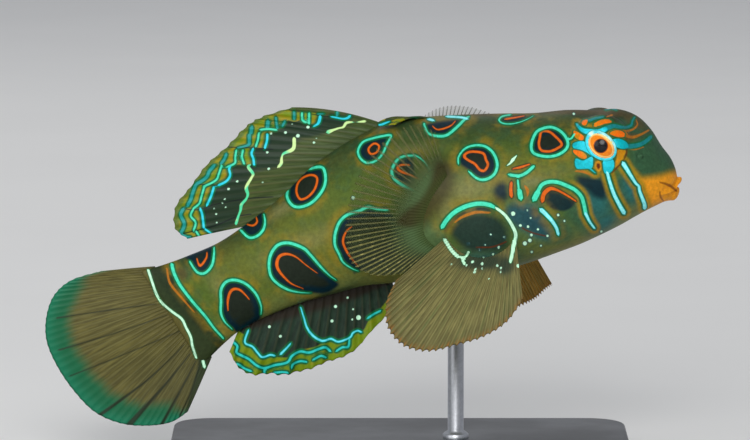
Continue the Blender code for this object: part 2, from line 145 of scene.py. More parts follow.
# Eyes: a ball that shows through an oval opening of the skin.
EYE = (60.1, 4.2, 33.0)
EYE_RADIUS = 1.7
PUPIL_PLACE = (600.6, 146.0)
OPENING = (1.64, 1.04)
OPENING_TILT = 40.0
LID_REACH = 1.79
LID_SLOPE = 0.8
LID_WIDTH = 1.6
SUNK_RADIUS = 1.35
SUNK_EDGE = -0.16

# Swellings of the skin: a turret round each eye, and a lobe under each pelvic fin.
TURRET = (60.0, 3.4, 33.05)
TURRET_SIZE = (2.95, 2.35, 2.9)
LOBE = (48.0, 5.3, 25.3)
LOBE_SIZE = (3.9, 2.1, 3.6)
SWELL_SHARPNESS = 9.0
SWELL_REACH = 1.6
SWELL_CORE = 0.05

# Small rolls and grooves of the skin: height, how far off they run, and half width.
LID_ROLL = (0.1, 0.16, 0.13)
NOSTRIL = (63.9, 31.9)
NOSTRIL_RIM = (0.17, 0.3, 0.13)
NOSTRIL_PIT = (0.3, 0.0, 0.17)
MOUTH_LINE_GROOVE = (0.24, 0.0, 0.11)
MOUTH_LINE_ROLLS = (0.12, 0.38, 0.2)
# Gill pore: a rim with a pit under it, turned by a cosine and a sine.
GILL_PORE = (51.1, 31.6)
PORE_TURN = (0.75, 0.66)
PORE_SIZE = (0.55, 0.2)
PORE_RIM = 0.09
PORE_PIT = 0.08
PORE_PIT_DROP = 1.6


def dots(*rows):
    """Marks of one point each, from rows of a half width and a place."""
    return tuple((size, (place,)) for size, place in rows)


# Lines of colour: half width, or half widths from end to end, and the points of each.
TURQUOISE = (
    (0.17, ((547.9, 127.1), (538, 130.7), (533.6, 137), (531.3, 145), (532.2, 151.3),
     (537.1, 154.8), (547.9, 156.6), (557.7, 154.8), (564.8, 150.4), (567.9, 145), (566.6, 138.8),
     (563, 133.4), (555.9, 128.5), (547.9, 127.1))),
    (0.12, ((567.6, 139.6), (571.5, 138.2), (574, 134.5))),
    ((0.1, 0.14, 0.17, 0.17, 0.12), ((458.4, 163.5), (458.5, 157), (463.4, 150), (470, 146.3),
     (478.4, 145.2), (486, 146.8), (492.5, 152), (496.3, 159.5), (497.2, 166), (495, 173),
     (490, 177.6), (483.5, 179.8), (477.5, 178.6), (472.5, 175), (469.6, 171.8))),
    ((0.05, 0.11, 0.12), ((533, 116), (527.5, 119), (520.2, 122), (511.3, 123.9), (503.4, 123.4),
     (499.4, 121), (499.6, 118.6), (503, 116), (510, 114.8))),
    ((0.12, 0.17, 0.17, 0.14), ((424, 124), (428, 133), (437, 136), (447, 135), (457, 127),
     (464, 120), (468, 117))),
    ((0.12, 0.17, 0.17, 0.14), ((413, 155.5), (405, 156), (399, 158.5), (395, 163), (392, 170),
     (393, 177), (399, 183), (406, 187), (412, 190), (417, 193))),
    ((0.12, 0.06), ((414, 155), (420, 158), (426, 164), (430, 171))),
    (0.14, ((391, 135.5), (387, 144), (383, 153), (377, 160), (368, 163), (361, 159), (358, 151),
     (363, 142), (374, 138), (383, 136), (391, 135.5))),
    (0.17, ((287, 196), (290, 184), (296, 174), (309, 169), (321, 167), (325, 173), (325, 184),
     (320, 194), (311, 203), (300, 207), (292, 205), (287, 196))),
    ((0.09, 0.16, 0.16, 0.14), ((264, 214.5), (265, 222), (263, 230), (257, 236), (249, 237.5),
     (241, 230.5))),
    ((0.12, 0.16, 0.16, 0.1), ((190, 262), (197, 272), (205, 273), (212, 265), (214, 254),
     (214, 248))),
    ((0.06, 0.15, 0.18, 0.18, 0.16, 0.15, 0.05), ((336, 280), (329, 275), (320, 266),
     (310, 254.5), (303, 248), (289, 243), (278, 245), (271, 254), (269, 265), (271, 276),
     (278, 284), (289, 290), (301, 292.5), (311, 293))),
    ((0.07, 0.15, 0.17, 0.17, 0.15, 0.07), ((261, 314), (261, 306), (256, 294), (246, 284),
     (235, 280), (226, 282), (221, 290), (221, 301), (221, 313), (225, 322), (232, 329))),
    ((0.12, 0.18, 0.17, 0.17, 0.13, 0.07), ((387, 210), (377, 209), (368, 207), (359, 211),
     (349, 214), (342, 219), (338, 225), (335, 235), (335, 245), (339, 254), (343, 262),
     (351, 268), (358, 271))),
    (0.18, ((509.9, 174.9), (519.3, 175.8), (526.4, 172.7), (533, 167))),
    (0.13, ((517.9, 180.7), (518.8, 189.6))),
    (0.27, ((519.3, 190.5), (520.6, 197.5))),
    (0.3, ((534.6, 198.5), (538, 191.8))),
    (0.21, ((538, 191.4), (541.6, 185.2), (547.9, 182.1), (556.8, 182.1), (565.7, 185.2),
     (574.6, 189.6), (580.9, 195.9), (583.6, 203), (585.8, 213.8))),
    (0.24, ((442.6, 226.4), (446.9, 219.7), (453.8, 212.8), (463, 207.5), (473.7, 204.2),
     (482.8, 203.7), (490.5, 205.2))),
    ((0.24, 0.14), ((490.5, 205.2), (496.6, 208.3))),
    ((0.2, 0.18, 0.16, 0.12), ((172, 265), (174, 273), (180, 285), (192, 301), (205, 316),
     (214, 328), (223, 338))),
)
CYAN = (
    ((0.12, 0.3), ((577, 124.4), (579.5, 127.6), (583, 130.4), (587.5, 131.6))),
    ((0.3, 0.26), ((587.5, 131.6), (594, 132), (600.2, 131.4), (605, 129.2))),
    ((0.12, 0.06), ((586.5, 165.6), (591, 169.4), (595, 172.7))),
)
LIGHT = (
    ((0.24, 0.16), ((541.6, 210.2), (545.6, 214), (552, 221), (556.4, 228), (558.2, 234))),
    ((0.18, 0.12), ((585.8, 213.8), (589.8, 221.8), (594.3, 228))),
    ((0.17, 0.23), ((607.3, 173), (610, 182.5), (613.6, 193.2), (618.9, 203.9), (623.8, 212.4))),
    ((0.24, 0.13), ((623.6, 164), (627.9, 170.9), (632.3, 178), (635.9, 183.4), (638.6, 185.6))),
    ((0.16, 0.23), ((639, 186.5), (639.8, 191.4), (642.1, 197.7), (644.4, 203.9), (644.8, 207.4))),
    (0.15, ((467, 118.6), (460, 117.2), (447, 116.4))),
    (0.16, ((428.8, 119.2), (433, 120.2))),
)
DULL_TEAL = (
    ((0.24, 0.18), ((627, 146.2), (633, 146), (639.5, 144.6), (645.5, 141.6), (650.6, 137.2))),
    ((0.14, 0.1), ((589.5, 120.4), (595.7, 118.2), (602.9, 116.8))),
    ((0.26, 0.22, 0.17), ((604, 129.6), (609.5, 127.2), (614, 125.9), (619.5, 126.9))),
    ((0.17, 0.12, 0.08), ((619.5, 126.9), (626, 127.3), (631.2, 125.2), (632.4, 121),
     (634.4, 117.4))),
    (0.1, ((606, 109.6), (611, 108.6), (616, 109.8))),
)
PALE = (
    ((0.13, 0.18), ((496.6, 208.3), (503.5, 213.6), (508.1, 219), (512.7, 226.6), (515.7, 234.3),
     (514.6, 243.4))),
    ((0.18, 0.14), ((514.6, 243.4), (512.7, 253.4), (510.8, 261.8))),
    (0.17, ((444.6, 240.4), (449.9, 248.8), (455.3, 254.9), (458.4, 257.2))),
    ((0.1, 0.09, 0.13), ((458.4, 257.2), (465.2, 257.2), (468.3, 252.6))),
    ((0.1, 0.15), ((461.6, 257.6), (462.6, 260.6), (464, 263.4))),
    (0.12, ((148.3, 270.3), (151.9, 281.2), (156.2, 293.3), (162.2, 303), (171.9, 311.5),
     (181.6, 318.8), (185.9, 327.2), (190.7, 336.9), (192.5, 346.6), (196.2, 357.5))),
    ((0.03, 0.16, 0.1, 0.03), ((516.6, 155.6), (513, 159.6), (510.4, 163), (507, 165.6))),
)
ORANGE = (
    (0.13, ((541.6, 131.6), (548.8, 131.6), (555, 136.1), (561.8, 144.1), (556.8, 148.6),
     (549.6, 151.3), (541.6, 150.4), (538.9, 145), (539.8, 137.9), (541.6, 131.6))),
    (0.13, ((464, 156), (469, 152), (478, 152), (484, 154), (486, 160), (488, 164), (486, 169),
     (483, 171), (479, 169), (475, 164), (468, 160), (464, 156))),
    ((0.12, 0.07), ((505.9, 119), (515.7, 117.4), (523.8, 116))),
    ((0.06, 0.1, 0.06), ((433, 126.5), (437, 129.5), (444, 128.5), (451, 125.5), (455, 121.5))),
    ((0.08, 0.13, 0.13, 0.08), ((409, 165), (401, 165), (397.5, 168.5), (402, 172), (408, 174),
     (423, 181))),
    (0.11, ((374, 143.5), (379, 146), (377, 152), (371, 154), (368.5, 149), (374, 143.5))),
    (0.12, ((300, 199), (296.5, 192), (298, 183), (304, 177), (312, 175), (317, 178), (316, 186),
     (312, 193), (306, 198), (300, 199))),
    ((0.07, 0.12, 0.08), ((256, 216.5), (257, 222), (253, 225.5), (247.5, 224.5))),
    ((0.07, 0.12, 0.07), ((197, 259), (200, 266), (206, 258.5), (207, 253))),
    ((0.04, 0.08, 0.15, 0.17, 0.11, 0.04), ((317, 273), (306, 265), (296, 257), (287, 254),
     (280, 256), (277, 262), (278, 269), (284, 277), (292, 284), (303, 288.5))),
    ((0.06, 0.13, 0.15, 0.12, 0.06), ((228, 310), (228, 299), (232, 290), (240, 290), (249, 299))),
    ((0.06, 0.12, 0.12, 0.06), ((351, 227), (346, 232), (343, 241), (346, 250), (352, 259),
     (358, 266))),
    ((0.06, 0.13, 0.08), ((513, 168.7), (520.2, 167.3), (529, 164.4))),
    ((0.15, 0.19), ((511.3, 183.2), (510.8, 189.6), (511.3, 195.5))),
    ((0.2, 0.22, 0.12, 0.09), ((542.5, 200.4), (543.8, 194.1), (549.6, 188.8), (555.9, 189.6),
     (564.8, 194.1), (575.4, 200.8))),
)
RUST = (
    ((0.06, 0.13, 0.14, 0.07), ((455.3, 222), (461.4, 217.4), (470.6, 213.6), (478.3, 212.1),
     (489.7, 212.8))),
    ((0.06, 0.16, 0.1, 0.04), ((576, 171.2), (580.5, 170.9), (586, 172.8), (592.5, 175.4))),
    ((0.07, 0.11, 0.1, 0.04), ((167, 269), (170, 283), (181.5, 297.6), (194, 312))),
    ((0.16, 0.12, 0.08), ((624.5, 135), (632.3, 137.2), (640.4, 134.6), (648.4, 130.4))),
    ((0.05, 0.1, 0.08, 0.05), ((613.6, 129.4), (622, 130.4), (629, 130.6), (634.1, 128.6),
     (637.4, 124.6), (636.4, 120.4))),
    ((0.05, 0.1), ((607, 116.6), (611.5, 115.2))),
    ((0.1, 0.16, 0.06), ((525.4, 186.5), (527.6, 190.5), (527.6, 195.5))),
    ((0.09, 0.05), ((629, 148.8), (636, 149.2), (643, 147))),
)
DOTS = dots(
    (0.17, (353, 198)), (0.12, (573.8, 113.8)), (0.12, (601.4, 231.5)), (0.13, (558.1, 215)),
    (0.1, (564.4, 220.9)), (0.22, (513.1, 213.6)), (0.1, (527.3, 210.2)), (0.1, (530.7, 218.2)),
    (0.15, (520.3, 225.5)), (0.13, (528, 226.6)), (0.12, (537.9, 229.3)), (0.14, (531.4, 235)),
    (0.12, (547.5, 235.8)), (0.18, (529.9, 240.4)), (0.2, (524.9, 243.4)), (0.1, (541, 245.7)),
    (0.12, (531.8, 251.9)), (0.12, (490.5, 234.7)), (0.13, (468.3, 243.8)), (0.1, (484.8, 244.6)),
    (0.12, (504.3, 237.3)), (0.15, (498.5, 247.3)), (0.14, (492.8, 254.2)), (0.13, (484, 257.2)),
    (0.12, (479.8, 249.6)), (0.16, (472.5, 262.2)), (0.15, (482.1, 264.1)), (0.12, (475.6, 269.5)),
    (0.14, (474.4, 272.5)), (0.1, (482.1, 269.1)), (0.13, (497.4, 266)), (0.12, (501.2, 268.3)),
    (0.12, (466.4, 265.6)), (0.1, (451.1, 264.5)), (0.18, (518.4, 266)), (0.1, (500.8, 272.5)),
    (0.09, (489, 279)), (0.12, (418, 198)),
)
# Lines of painted shade where the skin makes a crease: under the pelvic lobe, along the foot of
# the gill flap and below the eye.
CREASE_SHADOWS = (
    (0.05, ((505.8, 241.9), (497, 245.6), (489, 247.3), (476.7, 247.3))),
    (0.05, ((522.6, 228.1), (528, 231), (534.9, 233.5), (544.8, 235.8))),
    ((0.02, 0.06, 0.02), ((626.8, 148.8), (626.4, 154), (623.4, 160.5))),
    ((0.03, 0.07, 0.02), ((621, 163.8), (616.2, 168.4), (612, 173))),
)
# Patches of colour, each inside an outline.
EYE_BLOBS = (
    ((573, 143.6), (578.8, 141.4), (584.6, 141.6), (588.6, 146), (594, 156.6), (586.8, 152.4),
     (580.5, 149.6), (573.4, 148)),
    ((611.5, 140.6), (616, 138.6), (622, 139.6), (627, 142.8), (628.6, 147.4), (623.4, 148.8),
     (617.4, 147.4), (613, 144)),
    ((575.6, 158.4), (583, 160.8), (592, 156.6), (593, 163), (591.6, 168.2), (586, 168.6),
     (576.2, 168.2)),
    ((603.4, 160.4), (611, 158), (614, 162), (613.6, 168.4), (609.6, 173), (605, 173.4),
     (603.2, 168)),
)
EYE_LEAVES = (
    ((581.6, 121.8), (584, 119.8), (588.2, 119.8), (586.4, 124.4), (584.4, 126), (582, 124.4)),
    ((591.3, 124.6), (595.7, 122.5), (600.2, 120.2), (606.4, 119), (613.2, 120.7), (610, 122.8),
     (603.8, 123.8), (599.3, 126), (594.6, 126.8)),
    ((573.4, 130.7), (577, 131.6), (581.4, 134.3), (584.6, 137.4), (582.3, 140.3), (577.9, 139.4),
     (574.4, 136.6)),
    ((572.9, 149.9), (577.9, 150.4), (583.2, 152.1), (586.8, 155.7), (585.9, 158.6),
     (581.4, 158.4), (577, 155.7), (573.8, 153)),
    ((609.6, 132.9), (613.6, 130.7), (618.9, 130.3), (624.3, 132.5), (625, 136.2), (620.7, 137.2),
     (614.5, 136.2), (610.9, 134.7)),
)
EYE_OCHRE = (
    ((617.4, 149.6), (625, 149.8), (625.6, 153), (622.4, 159), (618.6, 164), (615.2, 168),
     (614, 165.4), (616.8, 158), (616.8, 153)),
    ((595.4, 161.6), (600, 161), (602, 166), (600.6, 170.8), (597.6, 171.4), (594.8, 167)),
)
EYE_BROWN = (((596.8, 163.4), (599.8, 163.4), (600.4, 167.2), (598.4, 169.6), (596.4, 167)),)
LOBE_DISC = (
    (448, 231), (455, 218.6), (469, 211.6), (484, 211.2), (498, 215.4), (508, 226), (510, 240),
    (506, 249), (490, 254), (468, 253), (455, 243),
)
RING_RESTS = (
    ((378, 208), (392, 213), (400, 225), (401, 241), (393, 256), (377, 267), (356, 271),
     (345, 255), (345, 225)),
    ((232, 329), (226, 320), (245, 300), (258, 304), (262, 314), (259, 322), (248, 330),
     (238, 334)),
    ((311, 293.5), (289, 288), (320, 270), (336, 280), (339, 286), (327, 294)),
    ((190, 262), (204, 268), (214, 250), (213, 240), (186, 254)),
    ((264, 214.5), (258, 232), (241, 230.5), (234, 222), (258, 206)),
)
# The insides of the rings that close, or nearly do, which come first in the table.
RINGS = 14
FILLED_RINGS = tuple(line[:-1] if line[0] == line[-1] else line
                     for _, line in TURQUOISE[:RINGS] if len(line) > 4)
# Patches on the head, the lobe and the tail.
GILL_FLAP = (
    (506, 210), (514, 204), (526, 205), (539, 212), (547, 224), (549, 236), (537, 234.6),
    (523, 229.4), (511, 222),
)
ARCH_SHADE = (
    (443.6, 230.6), (448, 222.4), (455, 216), (464, 210.8), (474, 207.6), (483, 207), (490, 208.6),
    (490, 211.4), (483, 210.4), (474.6, 211), (465.4, 214), (457, 218.8), (451, 225.2),
    (446.6, 232),
)
GILL_DARK = ((494, 187), (499, 182.6), (506, 182.6), (507, 196), (500, 197.6), (494.6, 193.4))
FACE_DARK = (
    (544.6, 200.6), (545.4, 195), (549.8, 190.6), (556, 191.6), (566, 197.2), (575, 203),
    (566, 210.6), (552, 209),
)
CHEEK_NAVY = (
    (577, 176), (590, 176.8), (602, 179), (607, 190), (604, 199), (594, 197), (586, 190),
    (578, 184),
)
PECTORAL_GREEN = (
    (424, 226), (434, 224), (442, 231), (446, 242), (449, 256), (447, 265), (436, 268), (424, 262),
    (417, 245),
)
TAIL_SIDE = (
    (145, 262), (147.4, 270.3), (151, 281.2), (155.4, 293.3), (161.4, 303), (171, 311.8),
    (180.8, 319), (185, 327.2), (189.8, 336.9), (191.6, 346.6), (195.2, 358), (186, 372),
    (150, 372), (120, 330), (130, 262),
)
# Soft blotches: x, y, half length, half height, turn in degrees.
NAVY_BLOTCHES = ((532, 218, 10, 12, 20), (604, 133.5, 7, 2.4, -12), (594, 130, 8, 1.2, 4))
TEAL_BLOTCHES = (
    (590, 210, 30, 26, 0), (628, 190, 18, 14, 60), (652, 158, 26, 30, -30), (552, 228, 26, 16, 20),
    (600, 222, 20, 10, -30), (630, 128, 16, 10, 20),
)
OCHRE_BLOTCHES = (
    (570, 246, 34, 6, -15), (610, 224, 34, 5, -32), (640, 207, 12, 8, -30), (528, 190, 5, 6, 0),
    (470, 200, 24, 14, 0), (512, 160, 18, 10, 0), (540, 168, 24, 7, 0), (330, 240, 50, 30, 0),
    (240, 270, 46, 26, 40), (400, 276, 50, 8, 0), (575, 165, 12, 14, 0),
)
SEA_BLOTCHES = (
    (598, 202, 12, 22, -12), (630, 190, 7, 16, -18), (606, 222, 14, 9, -25), (540, 232, 14, 8, 10),
    (526, 214, 18, 16, 40), (483, 262, 36, 12, 0),
)
# Dark patches in the stem colour. The two on the crown are painted shade on the top of the head,
# the thin one at (306, 304) is a painted shadow along the belly over the anal fin, and the other
# two darken the skin.
BROWN_AND_SHADE_BLOTCHES = (
    (600, 113, 40, 8, 4), (620, 120, 18, 7, 30), (180, 300, 9, 46, -38),
    (306, 304, 64, 4.5, -20.6), (501, 197, 9, 8, 30),
)
SAND_BLOTCHES = (
    (468, 188, 34, 14, -14), (446, 206, 10, 18, 20), (300, 246, 40, 10, -24),
    (410, 152, 22, 7, -10), (532, 182, 12, 6, 0), (224, 292, 20, 8, 50), (282, 209, 18, 6, -30),
)
EARTH_BLOTCHES = (
    (634, 121, 15, 7, 35), (560, 110, 60, 5, 2), (608, 112, 26, 5, 5), (628, 137, 14, 4, -10),
    (470, 113, 40, 4, 0), (180, 276, 8, 10, 40),
)
# Round the mouth and the eye.
# Painted shade in the gap between the lips, and along the edge of the lower lip.
MOUTH_FOLD_SHADOWS = (
    ((0.04, 0.1, 0.08), ((660.5, 182.4), (666, 184), (671, 186.4), (676.2, 190.6))),
    ((0.03, 0.06, 0.02), ((659.8, 192), (660.6, 197), (663.4, 200.8))),
)
MOUTH_PATCH = (
    (634, 172), (641, 177.5), (650, 177), (662, 175), (674, 171.5), (690, 172), (692, 200),
    (672, 206), (656, 206), (647, 216), (645, 206), (642.5, 197), (639.5, 187),
)
CREAM_BLOTCHES = ((607.5, 140, 9, 3.2, 44), (591, 133, 3.6, 2, 20))

# Fins: their rays from the snout's end, in millimetres. Single fins give the place of the
# root on the body, and x and z of the tip.
DORSAL_RAYS = (
    (13.1, 29.2, 36.3), (13.7, 26.3, 35.4), (14.3, 24.6, 34.4), (15.0, 22.7, 32.4),
    (15.6, 20.6, 30.5), (16.2, 19.0, 28.3), (16.8, 17.5, 26.3), (17.4, 17.4, 24.1),
    (18.0, 18.7, 23.0),
)
ANAL_RAYS = (
    (14.8, 39.9, 16.8), (15.6, 37.6, 14.2), (16.2, 35.2, 11.6), (16.9, 32.5, 10.5),
    (17.6, 29.7, 9.5), (18.3, 26.8, 9.3), (19.1, 24.2, 9.6), (19.9, 22.9, 11.6),
)
CAUDAL_TIPS = (
    (10.0, 19.65), (7.0, 18.7), (5.2, 17.1), (4.4, 14.8), (4.45, 12.4), (5.5, 9.9), (7.2, 7.4),
    (9.3, 5.3), (11.9, 4.2), (14.6, 4.0), (17.0, 4.4), (18.7, 5.5),
)
SPINES = ((43.6, 39.6, -2.3), (43.0, 38.4, -2.1), (42.3, 37.8, -1.7), (41.5, 37.7, -1.2))
PECTORAL_ROOTS = (
    (44.6, 30.0), (44.1, 29.2), (43.5, 28.3), (43.0, 27.3), (42.6, 26.3), (42.4, 25.3),
    (42.5, 24.4), (42.9, 23.6), (43.5, 23.0),
)
PECTORAL_TIPS_RIGHT = (
    (43.4, -8.2, 34.9), (40.6, -8.8, 35.4), (37.6, -9.3, 33.2), (35.7, -9.7, 30.2),
    (34.7, -9.9, 27.0), (34.6, -10.0, 24.2), (35.2, -9.8, 21.9), (37.4, -9.2, 20.6),
    (40.4, -8.6, 20.7),
)
PECTORAL_TIPS_LEFT = (
    (49.7, 11.5, 34.4), (47.0, 12.0, 35.2), (44.1, 12.1, 35.1), (41.6, 12.3, 33.5),
    (39.9, 12.4, 31.0), (39.0, 12.3, 28.0), (38.9, 12.0, 25.2), (39.7, 11.4, 22.8),
    (41.3, 10.6, 21.2),
)
PELVIC_BEARINGS = {-1: (12.0, 160.0), 1: (12.0, 148.0)}
PELVIC_REACH = 0.93
PELVIC_TIPS_RIGHT = (
    (52.1, -8.8, 18.1), (50.5, -9.7, 16.0), (48.2, -10.3, 14.6), (45.5, -10.6, 13.8),
    (42.8, -10.7, 13.2), (40.3, -10.6, 13.7), (38.7, -10.5, 15.5), (38.5, -10.4, 18.0),
    (39.5, -10.2, 20.2),
)
PELVIC_TIPS_LEFT = (
    (55.6, 10.0, 17.1), (54.9, 10.6, 16.5), (54.0, 11.0, 15.6), (53.0, 11.3, 15.0),
    (51.5, 11.5, 14.4), (49.8, 11.5, 14.1), (47.9, 11.2, 14.4), (46.2, 10.6, 15.6),
    (45.4, 9.8, 17.4),
)
ROD_X = 45.6
BELLY_REACH = 20.6
FIN_LIFT = 0.4
FIN_SINK = 0.9
PAIRED_LIFT = 0.65
RAY_BOW = 0.5
RAY_STEPS = 8
DORSAL_ARCH = 1.0
ARCH_FADE = 0.3
SPINE_LIFTS = (0.95, 0.75)
FRILL_PERIOD = 2.7
MEMBRANE_TAPER = 0.5
RIDGE_TAPER = 0.75
# Ridges, rows more than the setting, depth of the notches, of the pleats and of the frill.
FIN_FORMS = {
    "second_dorsal_fin": (18, 20, 0.012, 0.1, 0.0),
    "anal_fin": (19, 14, 0.018, 0.08, 0.3),
    "tail_fin": (41, 0, 0.004, 0.05, 0.0),
    "first_dorsal_fin": (6, 0, 0.03, 0.08, 0.0),
    "pectoral_fin_right": (37, 0, 0.02, 0.05, 0.0),
    "pectoral_fin_left": (57, 0, 0.02, 0.05, 0.0),
    "pelvic_fin_right": (33, 0, 0.025, 0.05, 0.0),
    "pelvic_fin_left": (33, 0, 0.025, 0.05, 0.0),
}
# Gaps between ridges across a pectoral fin, as the material of both counts them.
PECTORAL_GAPS = 36

# Lines and patches on the fins.
DORSAL_TEAL = (
    (0.15, ((183.2, 209.1), (180.8, 214.8), (184.1, 222.5), (183.7, 227.3), (181.3, 234),
     (186, 237), (189.9, 237.5))),
    (0.15, ((195.6, 185.2), (192.8, 192.8), (190.8, 199.5), (188, 204.8))),
    (0.15, ((213.8, 166), (209, 171.8), (207.1, 176.6), (201.4, 181.3), (197.5, 183.3))),
    (0.13, ((226.2, 154.6), (224.3, 159.3), (221.5, 163.2))),
    ((0.16, 0.14, 0.07), ((249.2, 135.4), (249.2, 141.1), (248.3, 145), (237.8, 147.9))),
    (0.17, ((251.6, 127.8), (251.1, 132.5))),
    (0.18, ((267.9, 122), (267.4, 127.8))),
    (0.1, ((276, 118.2), (277, 127.8))),
    (0.11, ((284.6, 122), (282.7, 125.4))),
    (0.12, ((294.2, 112.6), (294.2, 118))),
    (0.06, ((318, 113.8), (323.4, 113.6))),
    (0.12, ((337.3, 112.4), (337.1, 115))),
)
DORSAL_TURQUOISE = (
    (0.095, ((192.8, 210), (190.8, 215.8), (195.6, 222.5), (193.7, 230.1))),
    (0.095, ((204.2, 187.1), (201.4, 196.7), (199.4, 203.3), (193.7, 208.1))),
    (0.095, ((221.5, 166), (218.6, 174.6), (216.7, 179.4), (210.9, 183.3), (204.2, 186.1))),
    (0.095, ((236.3, 150.7), (235.3, 157.4), (234.9, 163.2), (227.2, 167))),
    (0.095, ((243, 150.7), (242, 156.5), (243.9, 163.2))),
    (0.095, ((258.8, 133.5), (257.8, 140.2), (255.9, 145.9))),
    (0.095, ((260.7, 129.7), (268, 129), (276, 129.7))),
    (0.095, ((196.6, 232), (199.4, 236.5))),
    (0.1, ((302, 113.4), (302, 117), (302.6, 120), (304.8, 121.8))),
    (0.1, ((309.2, 113.6), (309.1, 122.8))),
)
DORSAL_CYAN = (
    (0.11, ((200.4, 209.1), (202.3, 214.8), (203.8, 227.3))),
    (0.11, ((213.8, 187.6), (210.9, 196.7), (207.1, 204.8))),
    (0.11, ((230.1, 167), (229.1, 168.9), (230.1, 175.6), (226.2, 181.3), (218.6, 185.2))),
    (0.11, ((253, 149.3), (251.6, 153.6), (253.5, 159.3), (254, 164.1))),
    (0.11, ((267.4, 134.9), (266.9, 141.1), (265, 147.4))),
    (0.09, ((205.6, 229.3), (211.9, 234))),
    ((0.13, 0.15, 0.12, 0.07), ((320.2, 116.6), (319.4, 120.3), (317.8, 123.8), (313.9, 126.2))),
    ((0.06, 0.08, 0.08, 0.1, 0.13), ((331.4, 116.4), (337, 117.5), (343, 118.6), (347.2, 118),
     (349.4, 116.4))),
)
DORSAL_PALE = (
    ((0.1, 0.16, 0.11, 0.17, 0.1, 0.15, 0.1, 0.14), ((249.7, 165.1), (248.3, 167), (253, 173.7),
     (251.6, 177.5), (246.4, 187.1), (247.8, 193.8), (246.4, 198.6), (241.6, 204.3), (240.6, 210),
     (238.2, 216.7), (236.3, 223))),
    ((0.17, 0.18, 0.07, 0.15, 0.14), ((294.2, 139.3), (293.2, 148.8), (283.7, 153.6),
     (281.8, 157.5), (281.3, 163.2), (278.8, 166.5))),
    ((0.2, 0.1, 0.08, 0.13, 0.12, 0.06), ((328.6, 131.8), (333.5, 129.9), (339.2, 128),
     (343.4, 127), (346, 123), (349.4, 122), (353, 121.9))),
    ((0.04, 0.13), ((357.4, 121.8), (364.6, 121.2))),
)
DORSAL_DOTS = dots(
    (0.13, (237.2, 181.3)), (0.14, (228.6, 188.9)), (0.11, (224.8, 199)), (0.09, (222.4, 202.8)),
    (0.1, (225.7, 207.1)), (0.09, (214.2, 208.5)), (0.11, (216.2, 213.8)), (0.09, (216.7, 222.4)),
    (0.14, (267.3, 152.3)), (0.14, (268.8, 168.7)), (0.1, (262.6, 182.2)), (0.13, (271.1, 133.5)),
    (0.15, (285.5, 132.5)), (0.19, (297.9, 135.8)), (0.16, (308, 127)), (0.08, (292.2, 123.8)),
    (0.13, (314, 142.6)), (0.08, (316.4, 138.4)),
)
FIRST_MUSTARD = (
    ((0.06, 0.14, 0.14, 0.06), ((392, 121.6), (399, 120.6), (406.7, 120.2), (412, 120.4))),
    ((0.08, 0.14, 0.06), ((390, 125), (398, 124.4), (407, 125.4))),
    ((0.12, 0.16), ((423.5, 119), (428.6, 120.8))),
    ((0.05, 0.1), ((378, 121.6), (384, 120))),
)
FIRST_CYAN = (
    ((0.05, 0.11, 0.06), ((376, 126), (383, 124.4), (389.4, 122.2))),
    ((0.06, 0.1, 0.06), ((410.8, 119.4), (416, 119.2), (421.5, 119.6))),
    ((0.16, 0.1), ((432.4, 118.8), (433, 121.4))),
)
FIRST_DOTS = dots(
    (0.12, (398.8, 126.2)), (0.15, (410.3, 125.4)), (0.1, (414.4, 122.6)), (0.09, (402.6, 123)),
)
DORSAL_SEAMS = (
    (0.05, ((228, 147), (254, 148), (273, 149.3))),
    (0.05, ((183, 208), (193.7, 210), (205, 208), (214.8, 204.3), (246.4, 198.6), (273, 196.7))),
    (0.05, ((181.3, 234), (205, 228.3), (218.6, 224.4), (235.9, 216.7), (251, 214))),
    (0.04, ((197.5, 184.2), (218.6, 185.2))),
    (0.04, ((259.8, 129.7), (278, 130))),
    (0.04, ((311.6, 113.8), (320, 115.4), (331, 116.6))),
)
DORSAL_MUSTARD = (
    (0.1, ((305.6, 114.2), (305.6, 118.6))),
    (0.1, ((298.2, 113.8), (298.4, 118))),
    (0.04, ((289, 119.8), (293, 121), (297.6, 120.6), (299.4, 118.6))),
)
DORSAL_BAND = (
    (316.6, 112.8), (300, 112), (291, 111), (280, 104), (254, 120), (227, 142), (206, 160),
    (172, 205), (170, 242), (200, 244), (213, 238), (211.9, 234), (203.8, 227.3), (202.3, 214.8),
    (200.4, 208), (207, 205), (211, 196.7), (214, 187.6), (226.2, 181.3), (230.1, 175.6),
    (229.1, 168.9), (233, 165), (253, 164), (253.5, 159), (251.6, 153.6), (253.5, 149.3),
    (265, 147.4), (266.9, 141), (267.4, 134.9), (278, 129), (287, 120.6), (300, 120.4), (306, 122),
    (312, 124.4), (316, 122.6), (317.6, 118),
)
DORSAL_DARK = (
    (211.9, 234), (203.8, 227.3), (202.3, 214.8), (200.4, 208), (207, 205), (211, 196.7),
    (214, 187.6), (226.2, 181.3), (230.1, 175.6), (229.1, 168.9), (233, 165), (253, 164),
    (253.5, 149.3), (265, 147.4), (267.4, 134.9), (278, 130), (288, 121), (300, 121), (310, 124.6),
    (317, 122), (321, 116), (332, 117), (344, 119.6), (350, 118), (348, 121.6), (341, 127),
    (330, 131), (322, 134.6), (312, 137), (300, 139), (293, 149), (281, 158), (279, 167),
    (262, 170), (253, 174), (246, 187), (247, 198), (240, 210), (236, 223), (225, 229),
)
ANAL_CYAN = (
    (0.1, ((248.3, 330.7), (245.1, 342.2), (252.9, 346.8), (258, 353.1), (262.6, 357.1),
     (270.1, 354.8), (274.1, 355.4))),
    ((0.12, 0.08), ((281, 353.6), (286.7, 347.9), (290.2, 343.9))),
    ((0.07, 0.12, 0.11, 0.1, 0.09), ((300.9, 307.7), (304, 318), (306.8, 327.2), (312.6, 335.3),
     (320.6, 340.4), (325.2, 340.4), (330.9, 338.7), (337.8, 341.6), (344.7, 339.9), (350.5, 337),
     (352.8, 333), (357.3, 330.7), (360.8, 331.8))),
)
